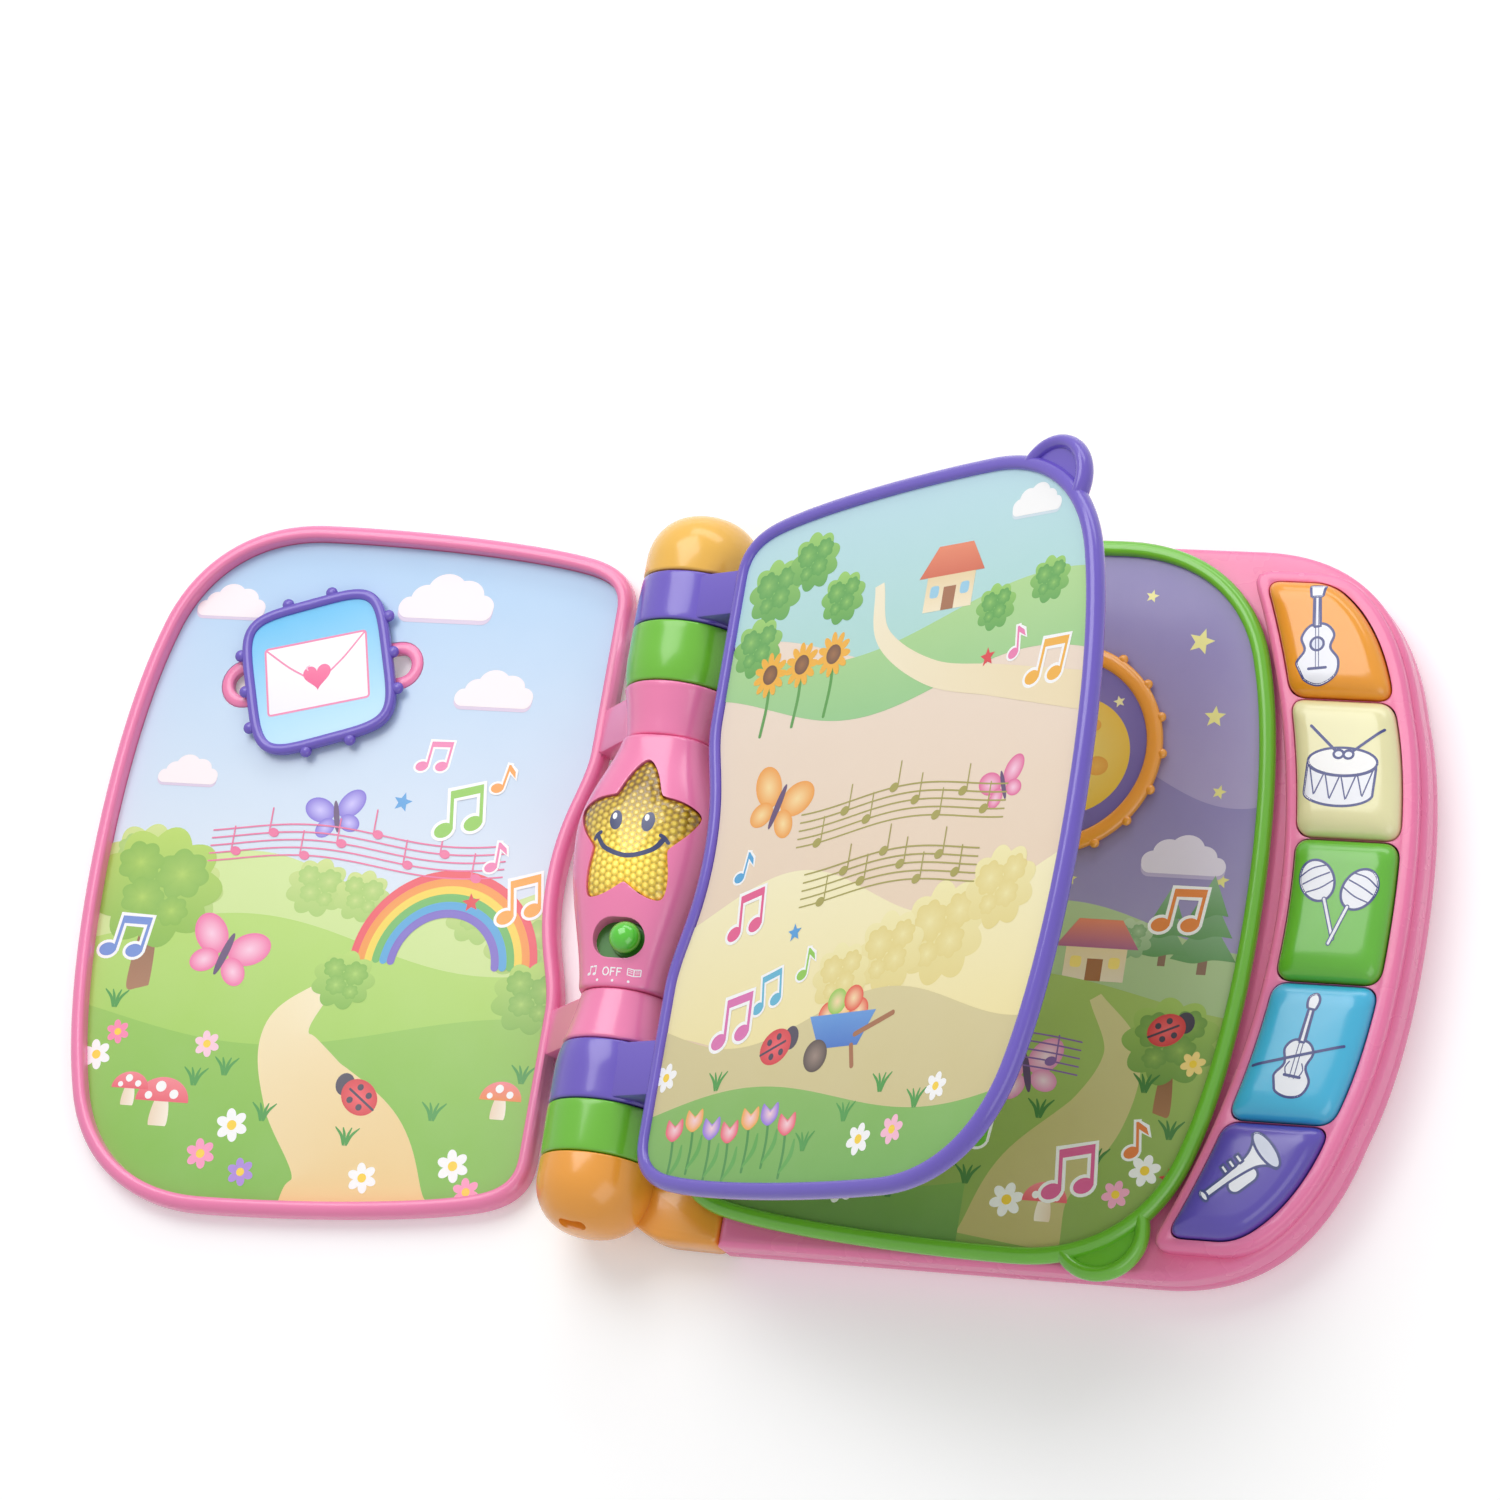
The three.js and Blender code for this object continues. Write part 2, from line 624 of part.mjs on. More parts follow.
// A page in its own frame: closed position, height measured from the hinge axis.
// Each ring entry is [slot, side]; the web's underside is webLow above the page's underside.
function makePage({ offset, thickness, webLow, rings, ear }) {
  const low = offset - thickness / 2;
  const high = offset + thickness / 2;
  const edge = [0, 1, 2].map((i) => {
    const angle = (i / 2) * Math.PI / 2;
    return [rimRound * (1 - Math.sin(angle)), rimRound * (1 - Math.cos(angle))];
  });
  const profile = [
    ...edge.map(([amount, rise]) => [amount, low + rise]),
    ...[...edge].reverse().map(([amount, rise]) => [amount, high - rise]),
  ];
  let page = solid(slab(pageOutline(0), profile));
  if (ear) {
    const round = circlePoints(earPlace[0], ear * earPlace[1], earRadius, 18);
    page = page.add(solid(slab(round, profile)));
  }
  for (const [slot, side] of rings) {
    page = joined(page, makeRing(slot, side), makeNeck(slot, side, offset, thickness));
  }
  const web = [low + webLow, low + webLow + webThickness];
  const recess = pageOutline(rimWidth);
  const upper = [[0, web[1]], [0, high - 1.2], [-1.2, high], [-2.4, high + 1]];
  page = page.subtract(solid(slab(recess, upper)));
  const under = [[-2.4, low - 1], [-1.2, low], [0, low + 1.2], [0, web[0]]];
  page = page.subtract(solid(slab(recess, under)));
  if (ear) {
    const dish = circlePoints(earPlace[0] + 2.6, ear * (earPlace[1] + 2.6), earRadius - rimWidth - 1.2, 12);
    const rim = circleCut(dish, recess, ear);
    page = page.subtract(solid(slab(rim, [[0, web[1]], [0, high - 0.8], [-1.8, high + 1]])));
    page = page.subtract(solid(slab(rim, [[-1.8, low - 1], [0, low + 0.8], [0, web[0]]])));
  }
  const bore = tubeRadius + runningGap;
  return page.subtract(latheAlongSpine([[0, -baseHalfHeight], [bore, -baseHalfHeight], [bore, baseHalfHeight], [0, baseHalfHeight]]));
}

// The ear's dished thumb hollow keeps clear of the picture recess by pushing its points outwards.
function circleCut(dish, recess, ear) {
  const outward = new THREE.Vector2(1, ear).normalize();
  const limit = Math.max(...recess.map((point) => point.dot(outward))) + rimWidth * 0.8;
  return dish.map((point) => {
    const short = limit - point.dot(outward);
    return short > 0 ? point.clone().addScaledVector(outward, short) : point;
  });
}

function cardSolid(low, margin = rimWidth + seatGap + 0.2) {
  return prism(pageOutline(margin), low, low + cardThickness);
}

function pageGroup(turn) {
  const group = new THREE.Group();
  group.position.z = axisHeight;
  group.rotation.y = -degrees(turn);
  part.add(group);
  return group;
}

function obround(x, y, length, width, tilt, steps = 5) {
  const points = [];
  for (const side of [1, -1]) {
    for (let i = 0; i <= steps; i += 1) {
      const angle = degrees(tilt) + side * Math.PI / 2 - Math.PI / 2 + (Math.PI * (i / steps - 0.5));
      const along = side * (length - width) / 2;
      points.push(new THREE.Vector2(
        x + along * Math.cos(degrees(tilt)) + (width / 2) * Math.cos(angle),
        y + along * Math.sin(degrees(tilt)) + (width / 2) * Math.sin(angle),
      ));
    }
  }
  return points;
}

// Cover: its picture side faces down in its own frame, so it faces up when the book lies open.
function addCover() {
  const group = pageGroup(180);
  const low = coverOffset - coverThickness / 2;
  const high = coverOffset + coverThickness / 2;
  const innerDepth = coverThickness - webThickness - 1.4;
  const webLow = low + innerDepth;
  const bezelLow = webLow - 1.2;
  const frame = makePage({
    offset: coverOffset, thickness: coverThickness, webLow: innerDepth, rings: [[0, 1], [0, -1]],
  });
  const bezel = prism(obround(...tilePlace, bezelLength, bezelWidth, slideTilt), bezelLow, webLow + 0.5);
  const slotLength = bezelLength - 8;
  const slotWidth = bezelWidth - 8;
  const slot = prism(obround(...tilePlace, slotLength, slotWidth, slideTilt), low - 1, high + 1);
  addMesh('cover_frame', frame.add(bezel).subtract(slot), paints.pink, group);
  const bezelHole = prism(obround(...tilePlace, bezelLength + 0.8, bezelWidth + 0.8, slideTilt), low, high);
  addMesh('cover_inner_card', cardSolid(webLow - seatGap - cardThickness).subtract(bezelHole), paints.sky, group);
  const outerCardLow = webLow + webThickness + seatGap;
  const outerHole = prism(obround(...tilePlace, bezelLength + 4, bezelWidth + 6, slideTilt), low, high);
  addMesh('cover_outer_card', cardSolid(outerCardLow).subtract(outerHole), paints.pink, group);

  const tileTop = bezelLow - seatGap;
  const tileLow = low + seatGap;
  const half = tileSize / 2;
  const turned = (shape, tilt) => shape.rotate([0, 0, tilt]).translate([...tilePlace, 0]);
  let tile = solid(slab(tileOutline(half), [
    [2, tileLow], [0.6, tileLow + 0.6], [0, tileLow + 1.6], [0, tileTop - 0.6], [0.8, tileTop],
  ]));
  const beadSquash = ((tileTop - tileLow) / 2 - 0.2) / beadRadius;
  const sideBeads = [-0.5, 0, 0.5].flatMap((share) => [[half, share * half], [-half, share * half]]);
  const endBeads = [-0.3, 0.3].flatMap((share) => [[share * half, half], [share * half, -half]]);
  for (const [x, y] of [...sideBeads, ...endBeads]) {
    const bead = new THREE.SphereGeometry(beadRadius, 6, 4).scale(1, 1, beadSquash);
    tile = tile.add(solid(bead).translate([x, y, (tileLow + tileTop) / 2]));
  }
  tile = tile.subtract(prism(tileOutline(half - 3.4), tileLow - 1, tileLow + 0.8));
  const stemHalf = (slotLength - 2 * slideTravel) / 2 - seatGap;
  const stemWide = slotWidth / 2 - seatGap;
  const stemPlan = obround(0, 0, 2 * stemHalf, 2 * stemWide, 0);
  const stem = prism(stemPlan, tileTop - 1, webLow + webThickness + seatGap - 0.2);
  addMesh('letter_slider', turned(tile, tileTilt).add(turned(stem, slideTilt)), paints.purple, group);
  const plateLow = webLow + webThickness + seatGap;
  const plate = box(-stemHalf, stemHalf, -stemWide - 2.4, stemWide + 2.4, plateLow, plateLow + 0.8);
  addMesh('slider_back_plate', turned(plate, slideTilt), paints.grey, group);
}

// Rounded square with bulging sides: a superellipse.
function tileOutline(half) {
  const count = 32;
  return Array.from({ length: count }, (_, i) => {
    const angle = (2 * Math.PI * i) / count;
    const [c, s] = [Math.cos(angle), Math.sin(angle)];
    const reach = half / (Math.abs(c) ** tilePower + Math.abs(s) ** tilePower) ** (1 / tilePower);
    return new THREE.Vector2(reach * c, reach * s);
  });
}

function addPurplePage() {
  const group = pageGroup(purpleTurn);
  const depth = (pageThickness - webThickness) / 2;
  const frame = makePage({
    offset: purpleOffset, thickness: pageThickness, webLow: depth, rings: [[2, 1], [1, -1]], ear: 1,
  });
  addMesh('purple_page_frame', frame, paints.purple, group);
  const webLow = purpleOffset - webThickness / 2;
  addMesh('purple_page_top_card', cardSolid(webLow + webThickness + seatGap), paints.peach, group);
  addMesh('purple_page_under_card', cardSolid(webLow - seatGap - cardThickness), paints.peach, group);
}

function dialOutline(radius, lobe) {
  const points = [];
  const count = dialLobes * 5;
  for (let i = 0; i < count; i += 1) {
    const angle = (2 * Math.PI * i) / count;
    const wave = Math.max(0, Math.cos(dialLobes * angle));
    const reach = radius + lobe * wave;
    points.push(new THREE.Vector2(reach * Math.cos(angle), reach * Math.sin(angle)));
  }
  return points;
}

function addGreenPage() {
  const group = pageGroup(0);
  const low = greenOffset - pageThickness / 2;
  const high = greenOffset + pageThickness / 2;
  const webLow = 1.3;
  const webTop = low + webLow + webThickness;
  let frame = makePage({
    offset: greenOffset, thickness: pageThickness, webLow, rings: [[1, 1], [2, -1]], ear: -1,
  });
  const hubRadius = 8;
  const hole = prism(circlePoints(...dialPlace, hubRadius + runningGap, 20), low - 1, high + 1);
  frame = frame.subtract(hole);
  addMesh('green_page_frame', frame, paints.green, group);
  addMesh('green_page_top_card', cardSolid(webTop + seatGap).subtract(hole), paints.dusk, group);
  const retainerRadius = 12;
  const retainerHole = prism(circlePoints(...dialPlace, retainerRadius + 1, 20), low - 1, high);
  addMesh('green_page_under_card', cardSolid(low + webLow - seatGap - cardThickness).subtract(retainerHole), paints.meadow, group);
  const dialLow = webTop + 2 * seatGap + cardThickness;
  const dialTop = high + dialProud;
  let dial = solid(slab(dialOutline(dialRadius, dialLobeHeight), [
    [0.5, dialLow], [0, dialLow + 0.5], [0, dialTop - 0.8], [0.8, dialTop],
  ]));
  dial = dial.subtract(rod(0, 0, dialTop - 0.7, dialTop + 1, dialRadius - 8, 32));
  dial = dial.add(rod(0, 0, low + webLow - seatGap, dialLow + 0.5, hubRadius, 16));
  addMesh('moon_dial', dial.translate([...dialPlace, 0]), paints.orange, group);
  const retainerLow = low + webLow - seatGap - retainerThickness;
  addMesh('dial_retainer', rod(...dialPlace, retainerLow, retainerLow + retainerThickness, retainerRadius, 16), paints.grey, group);
}

// Half-width and rise of the star housing along the spine: a cosine swell peaking under the star.
function swell(y) {
  const end = slotEdges[0];
  const share = y > housingPeak ? (y - housingPeak) / (end - housingPeak) : (housingPeak - y) / (end + housingPeak);
  return ((Math.cos(Math.PI * Math.min(1, share)) + 1) / 2) ** 0.75;
}

// Lofted barrel of the housing, grown or shrunk by an offset: superellipse sections along the spine.
function housingLoft(grow, halfLength) {
  const stations = 8;
  const around = 20;
  const power = 2 / 2.5;
  const vertices = [];
  for (let j = 0; j <= stations; j += 1) {
    const y = -halfLength + (2 * halfLength * j) / stations;
    const width = ringMin + 0.4 + (housingHalfWidth - ringMin - 0.4) * swell(y) + grow;
    const rise = ringMin + 0.4 + (housingRise - ringMin - 0.4) * swell(y) + grow;
    for (let i = 0; i < around; i += 1) {
      const angle = (2 * Math.PI * i) / around;
      const [c, s] = [Math.cos(angle), Math.sin(angle)];
      const height = s > 0 ? rise : Math.min(rise, 17 + grow);
      vertices.push(
        Math.sign(c) * Math.abs(c) ** power * width, y, Math.sign(s) * Math.abs(s) ** power * height,
      );
    }
  }
  const ends = [vertices.length / 3, vertices.length / 3 + 1];
  vertices.push(0, -halfLength, 0, 0, halfLength, 0);
  const faces = [];
  for (let i = 0; i < around; i += 1) {
    const next = (i + 1) % around;
    for (let j = 0; j < stations; j += 1) {
      const [here, there] = [j * around, (j + 1) * around];
      faces.push(here + i, there + i, there + next, here + i, there + next, here + next);
    }
    faces.push(ends[0], i, next);
    faces.push(ends[1], stations * around + next, stations * around + i);
  }
  const geometry = new THREE.BufferGeometry();
  geometry.setAttribute('position', new THREE.Float32BufferAttribute(vertices, 3));
  geometry.setIndex(faces);
  return solid(geometry);
}

// Five-armed star with soft tips and filled notches: radius follows a rounded cosine of the angle.
function starPoints(grow) {
  const count = 40;
  return Array.from({ length: count }, (_, i) => {
    const angle = (2 * Math.PI * i) / count + Math.PI / 2;
    const wave = Math.abs(Math.cos(2.5 * (angle - Math.PI / 2)));
    const radius = starRadius * (0.60 + 0.40 * (1 - Math.sqrt(1 - (wave * 0.985) ** 2)) ** 0.75) + grow;
    return new THREE.Vector2(
      starSqueeze * radius * Math.cos(angle), starCentre + starStretch * radius * Math.sin(angle),
    );
  });
}

const switchFloor = 12.4;
const switchPocket = [17.4, 12.6];

function makeHousingFront() {
  const half = slotEdges[0] - ringClearance;
  const above = box(-60, 60, -60, 60, seatGap / 2, 60);
  let shell = housingLoft(0, half).intersect(above);
  shell = shell.subtract(housingLoft(-wall, half - wall));
  const cup = prism(obround(0, switchPlace, switchPocket[0] + 3, switchPocket[1] + 3, 0), switchFloor - 1.4, 30);
  shell = shell.add(cup.intersect(housingLoft(0, half)));
  shell = shell.subtract(prism(obround(0, switchPlace, ...switchPocket, 0), switchFloor, 40));
  shell = shell.subtract(box(-switchTravel - 1.8, switchTravel + 1.8, switchPlace - 1.8, switchPlace + 1.8, 5, switchFloor + 1));
  shell = shell.subtract(prism(starPoints(0), 2, 60));
  return shell.subtract(tubeBore());
}

function tubeBore() {
  const radius = tubeRadius + seatGap;
  return latheAlongSpine([[0, -60], [radius, -60], [radius, 60], [0, 60]], 32);
}

function makeHousingRear() {
  const half = slotEdges[0] - ringClearance;
  const below = box(-60, 60, -60, 60, -60, -seatGap / 2);
  let shell = housingLoft(0, half).intersect(below);
  const [low, high] = [bracketLow - axisHeight, bracketHigh - axisHeight];
  const start = ringMin;
  const neck = box(start, baseInner + wall + 3, -bracketHalf, bracketHalf, low, high);
  const tongue = box(baseInner + wall + 1, bracketReach, -bracketHalf + 4, bracketHalf - 4, low + 1, high - 1);
  shell = joined(shell, neck, tongue).subtract(housingLoft(-wall, half - wall));
  for (const y of [-4, 18]) shell = shell.add(rod(0, y, -15.5, 6, 3, 12));
  return shell.subtract(tubeBore().subtract(box(-60, 60, -38, 38, -60, 60)));
}

function makeStarLens() {
  const half = slotEdges[0] - 1;
  const skin = housingLoft(1.0, half).subtract(housingLoft(-wall - seatGap - 1.4, half - 4));
  const flangeSkin = housingLoft(-wall - seatGap, half - 4).subtract(housingLoft(-wall - seatGap - 1.4, half - 5));
  const above = box(-60, 60, -60, 60, 4, 60);
  const plug = prism(starPoints(-seatGap), 5, 60).intersect(skin);
  const flange = prism(starPoints(1.8), 5, 60).intersect(flangeSkin);
  return joined(plug, flange).intersect(above);
}

function makeSpineTube(side) {
  const inside = slotEdges[0] - wall - seatGap - 0.2;
  const end = 110;
  const outline = [
    [7.2, inside - 3], [tubeRadius + 1.6, inside - 3], [tubeRadius + 1.6, inside],
    [tubeRadius, inside], [tubeRadius, end], [7.2, end], [7.2, inside - 3],
  ];
  return latheAlongSpine(side > 0 ? outline : outline.map(([radius, y]) => [radius, -y]).reverse());
}

// End cap: a barrel with an elliptical end and an arm that seats in the base's corner notch.
function makeCap(side) {
  const start = slotEdges[3] + ringClearance;
  const shoulder = start + 6;
  const full = spineRadius(slotEdges[3]);
  const profile = [[0, start], [full - 0.7, start], [full, start + 0.7], [full, shoulder]];
  for (let i = 1; i <= 5; i += 1) {
    const angle = (i / 5) * Math.PI / 2;
    profile.push([full * Math.cos(angle) ** 0.8, shoulder + (capEnd - shoulder) * Math.sin(angle)]);
  }
  profile.at(-1)[0] = 0;
  const flip = (list) => (side > 0 ? list : list.map(([radius, y]) => [radius, -y]).reverse());
  const barrel = latheAlongSpine(flip(profile));
  const low = armLow - axisHeight;
  const high = deckHeight - 0.5 - axisHeight;
  const inner = slotEdges[3] + 3 + seatGap;
  const outer = baseHalfHeight;
  const arm = roundPath([
    [armReach, outer - 6, 0], [armReach, outer, 4], [20, outer - 0.6, 6], [6, outer - 9, 0], [6, inner, 0], [armReach, inner, 0],
  ]);
  const bottom = [[2, low], [0.6, low + 0.6], [0, low + 2], [0, high - 1.6], [0.5, high - 0.5], [1.6, high]];
  const armPlan = side > 0 ? arm : arm.map((point) => new THREE.Vector2(point.x, -point.y)).reverse();
  const bore = tubeRadius + seatGap;
  const hole = latheAlongSpine(flip([[0, start - 1], [bore, start - 1], [bore, 110.3], [0, 110.3]]), 32);
  const dimple = obround(0, 0, 9, 4.4, 0);
  const mark = alongSpine(dimple.map((point) => new THREE.Vector2(point.x - 2, point.y + 8)), capEnd - 5, capEnd + 1);
  const recess = side > 0 ? mark : mark.mirror([0, 1, 0]);
  return joined(barrel, solid(slab(armPlan, bottom))).subtract(hole).subtract(recess);
}

function makeSwitchKnob() {
  const floor = switchFloor + seatGap;
  const plate = prism(obround(0, 0, 11.4, 11, 0), floor, floor + 1.3);
  const dome = new THREE.LatheGeometry([
    [0, 0], [3.4, 0], [3.4, 1.4], [knobRadius, 3.6], [knobRadius, 4.6], [4.2, 6.6], [2.4, 7.8], [0, 8.2],
  ].map(([radius, height]) => new THREE.Vector2(radius, height)), 16);
  const head = solid(dome.rotateX(Math.PI / 2).translate(0, 0, floor + 0.6));
  const stem = box(-1.4, 1.4, -1.4, 1.4, floor - 3, floor + 0.5);
  return joined(plate, head, stem).translate([switchTravel / 2, switchPlace, 0]);
}

function addSpine() {
  const group = new THREE.Group();
  group.position.z = axisHeight;
  part.add(group);
  addMesh('star_housing_front', makeHousingFront(), paints.pink, group);
  addMesh('star_housing_rear', makeHousingRear(), paints.pink, group);
  addMesh('star_lens', makeStarLens(), paints.lens, group);
  const boardLow = 6 + seatGap;
  addMesh('star_light_board', box(-9, 9, -9, 23, boardLow, boardLow + 1.4), paints.board, group);
  const lampLow = boardLow + 1.4 + seatGap;
  const lamp = new THREE.LatheGeometry([[0, 0], [3.2, 0], [3.2, 3], [2.4, 4.8], [0, 5.6]].map(
    ([radius, height]) => new THREE.Vector2(radius, height),
  ), 16);
  addMesh('star_light', solid(lamp.rotateX(Math.PI / 2).translate(0, starCentre, lampLow)), paints.cream, group);
  const bodyTop = switchFloor - 1.4 - seatGap;
  const body = box(-8, 8, switchPlace - 4, switchPlace + 4, bodyTop - 5, bodyTop)
    .subtract(box(-switchTravel - 1.8, switchTravel + 1.8, switchPlace - 1.8, switchPlace + 1.8, bodyTop - 2, bodyTop + 1));
  addMesh('switch_body', body, paints.black, group);
  addMesh('mode_switch', makeSwitchKnob(), paints.green, group);
  addMesh('spine_tube_top', makeSpineTube(1), paints.grey, group);
  addMesh('spine_tube_bottom', makeSpineTube(-1), paints.grey, group);
  addMesh('spine_cap_top', makeCap(1), paints.orange, group);
  addMesh('spine_cap_bottom', makeCap(-1), paints.orange, group);
}

addBase();
addSpine();
addGreenPage();
addPurplePage();
addCover();

export default part;
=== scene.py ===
"""Looks for the open sound book: smooth moulded pieces, printed panels, lights and camera.

Sizes are millimetres in the part's own layout (spine along Y at X = 0, hinge axis at AXIS_HEIGHT)
until make() turns them into metres in the frame's coordinates.
"""

import math

import bmesh
import bpy
import numpy as np
from mathutils import Matrix, Vector
from mathutils.geometry import delaunay_2d_cdt


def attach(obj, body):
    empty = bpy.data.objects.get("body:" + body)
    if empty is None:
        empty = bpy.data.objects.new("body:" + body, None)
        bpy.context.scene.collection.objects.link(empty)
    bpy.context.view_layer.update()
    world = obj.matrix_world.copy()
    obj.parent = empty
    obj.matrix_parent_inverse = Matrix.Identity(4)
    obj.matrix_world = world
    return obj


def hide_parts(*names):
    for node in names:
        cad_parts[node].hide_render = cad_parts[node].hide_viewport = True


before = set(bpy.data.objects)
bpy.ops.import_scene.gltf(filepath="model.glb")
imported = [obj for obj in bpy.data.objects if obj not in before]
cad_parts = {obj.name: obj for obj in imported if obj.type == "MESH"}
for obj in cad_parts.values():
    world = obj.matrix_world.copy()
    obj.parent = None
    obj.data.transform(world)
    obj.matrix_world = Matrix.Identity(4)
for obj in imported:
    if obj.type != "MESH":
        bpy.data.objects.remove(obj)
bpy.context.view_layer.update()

# Driving sizes, as in the part's source
PAGE_REACH = 200.0
PAGE_HALF = 115.5
PAGE_INNER = 28.0
PAGE_SCOOP = 7.5
PAGE_THICK = 6.0
COVER_THICK = 8.0
PAGE_GAP = 0.6
RIM_WIDTH = 4.8
RIM_ROUND = 2.8
WEB = 1.5
PURPLE_TURN = 27.5
BASE_REACH = 247.5
BASE_HALF = 116.0
BASE_INNER = 29.0
DECK = 17.5
PARTING = 9.0
WALL = 2.2
SEAT_GAP = 0.3
CRESCENT_RISE = 5.0
CRESCENT_INNER = 204.8
CRESCENT_BOW = 0.0021
CRESCENT_HALF = 108.0
RIM_MARGIN = 1.6
KEY_DOME = 4.8
KEY_OUTER_INSET = 6.5
KEY_INNER_MARGIN = 4.2
KEY_GAP = 1.1
KEY_SPLITS = (104.5, 66.9, 22.7, -22.7, -66.9, -104.5)
SLOTS = (41.3, 58.3, 78.0, 94.6)
RING_MAX = 18.8
RING_MIN = 14.6
TUBE = 10.5
CAP_END = 117.2
ARM_REACH = 41.5
ARM_LOW = 4.0
HOUSING_WIDTH = 24.4
HOUSING_RISE = 21.0
HOUSING_PEAK = 9.0
STAR_CENTRE = 7.0
STAR_RADIUS = 23.5
STAR_STRETCH = 1.12
STAR_SQUEEZE = 0.93
SWITCH_PLACE = -26.0
SWITCH_TRAVEL = 5.2
SWITCH_FLOOR = 12.4
TILE_SIZE = 51.0
TILE_PLACE = (132.5, 65.4)
TILE_TILT = -18.0
TILE_POWER = 4.5
SLIDE_TILT = -9.3
BEZEL_LENGTH = 70.0
BEZEL_WIDTH = 16.0
DIAL_PLACE = (127.4, 46.8)
DIAL_RADIUS = 34.0
DIAL_LOBES = 9
DIAL_RIM = 5.0
TILE_RIM = 3.4
EAR_RADIUS = 15.5
EAR_PLACE = (PAGE_REACH - 35.0, 103.5)

# Sizes that only the looks have
GREEN_WEB = 1.3
COVER_SINK = 1.4
CARD_THICK = 0.4
CARD_MARGIN = 0.25
CARD_GAP = 0.05
FILLET = 1.5
EAR_BEAD = 2.3
EAR_PLATE = 0.8
HOUSING_REAR = 17.0
HOUSING_POWER = 2.5
LENS_GAP = 0.45
ROUND_EDGE = 0.9
LINE_INK = "22307e"
PALE_INK = "f4f6ff"
WHITE = [1, 1, 1, 1]

AXIS_HEIGHT = (DECK + 2 * (PAGE_THICK + PAGE_GAP) + COVER_THICK + PAGE_GAP) / 2
GREEN_OFFSET = DECK + PAGE_GAP + PAGE_THICK / 2 - AXIS_HEIGHT
PURPLE_OFFSET = GREEN_OFFSET + PAGE_THICK + PAGE_GAP
COVER_OFFSET = PURPLE_OFFSET + PAGE_THICK / 2 + PAGE_GAP + COVER_THICK / 2
CRESCENT_TOP = DECK + CRESCENT_RISE
SHIFT = -(BASE_REACH - PAGE_REACH) / 2

# Outlines


def bezier(steps, *numbers):
    """Points 1..steps of the cubic (1-t)^3 P0 + 3(1-t)^2 t P1 + 3(1-t) t^2 P2 + t^3 P3."""
    ends = np.array(numbers, float).reshape(4, 2)
    t = np.linspace(0, 1, steps + 1)[1:, None]
    u = 1 - t
    return u**3 * ends[0] + 3 * u**2 * t * ends[1] + 3 * u * t**2 * ends[2] + t**3 * ends[3]


def mirrored(upper):
    """Closes an outline given from +X round to -X on the side Y >= 0."""
    lower = upper[upper[:, 1] > 1e-6] * [1, -1]
    return np.vstack([upper, lower[::-1]])


def page_outline():
    """Bowed outer side, large outer corners, eased spine corners and a scoop for the star."""
    reach, top, inner = PAGE_REACH, PAGE_HALF, PAGE_INNER
    scoop = inner + PAGE_SCOOP
    x, y = reach - 9, top - 37.5
    return mirrored(np.vstack([
        [[reach, 0]],
        bezier(18, reach, 0, reach, 30, reach - 3, 58, x, y),
        bezier(34, x, y, reach - 15, top - 15.5, reach - 33, top, reach - 61, top),
        bezier(20, reach - 61, top, reach - 88, top, inner + 37, top - 2.5, inner + 16, top - 7.5),
        bezier(12, inner + 16, top - 7.5, inner + 6, top - 10, inner, top - 15, inner, top - 25),
        bezier(24, inner, 44, inner, 30, scoop, 22, scoop, 0),
    ]))


def base_outline():
    """Bowed keyed side, and a notch at each spine corner for the arm of the end cap."""
    reach, top = BASE_REACH, BASE_HALF
    notch = ARM_REACH + SEAT_GAP
    return mirrored(np.vstack([
        [[reach, 0]],
        bezier(20, reach, 0, reach, 28, reach - 3, 50, reach - 9, top - 49),
        bezier(40, reach - 9, top - 49, reach - 16, top - 22, reach - 31, top, reach - 66, top),
        [[notch, top], [notch, SLOTS[3] + 3], [BASE_INNER, SLOTS[3] + 3], [BASE_INNER, 0]],
    ]))


def miters(points):
    """Outward miter of unit offset at each point of a closed anticlockwise outline."""
    step = np.roll(points, -1, 0) - points
    normal = np.stack([step[:, 1], -step[:, 0]], 1)
    normal /= np.maximum(np.linalg.norm(normal, axis=1, keepdims=True), 1e-9)
    before = np.roll(normal, 1, 0)
    middle = normal + before
    middle /= np.maximum(np.linalg.norm(middle, axis=1, keepdims=True), 1e-9)
    return middle / np.maximum(0.6, (middle * before).sum(1, keepdims=True))


def inset(points, amount):
    return points - miters(points) * amount


def ellipse(x, y, across, up, count=48, tilt=0.0):
    angle = np.linspace(0, 2 * math.pi, count, endpoint=False)
    turn = math.radians(tilt)
    a, b = across * np.cos(angle), up * np.sin(angle)
    return np.stack([x + a * math.cos(turn) - b * math.sin(turn),
                     y + a * math.sin(turn) + b * math.cos(turn)], 1)


def obround(x, y, length, width, tilt=0.0, steps=14):
    """Slot shape: two half circles of the width joined by straight sides."""
    half = math.pi / 2
    points = []
    for side in (1, -1):
        angle = np.linspace(-half, half, steps + 1) + (0 if side > 0 else math.pi)
        middle = side * (length - width) / 2
        points.append(np.stack([middle + width / 2 * np.cos(angle), width / 2 * np.sin(angle)], 1))
    return np.vstack(points) @ turn_matrix(tilt).T + [x, y]


def turn_matrix(degrees):
    c, s = math.cos(math.radians(degrees)), math.sin(math.radians(degrees))
    return np.array([[c, -s], [s, c]])


def superellipse(half, power, count=128):
    """|x|^p + |y|^p = half^p, sampled by angle."""
    angle = np.linspace(0, 2 * math.pi, count, endpoint=False)
    c, s = np.cos(angle), np.sin(angle)
    reach = half / (np.abs(c) ** power + np.abs(s) ** power) ** (1 / power)
    return np.stack([reach * c, reach * s], 1)


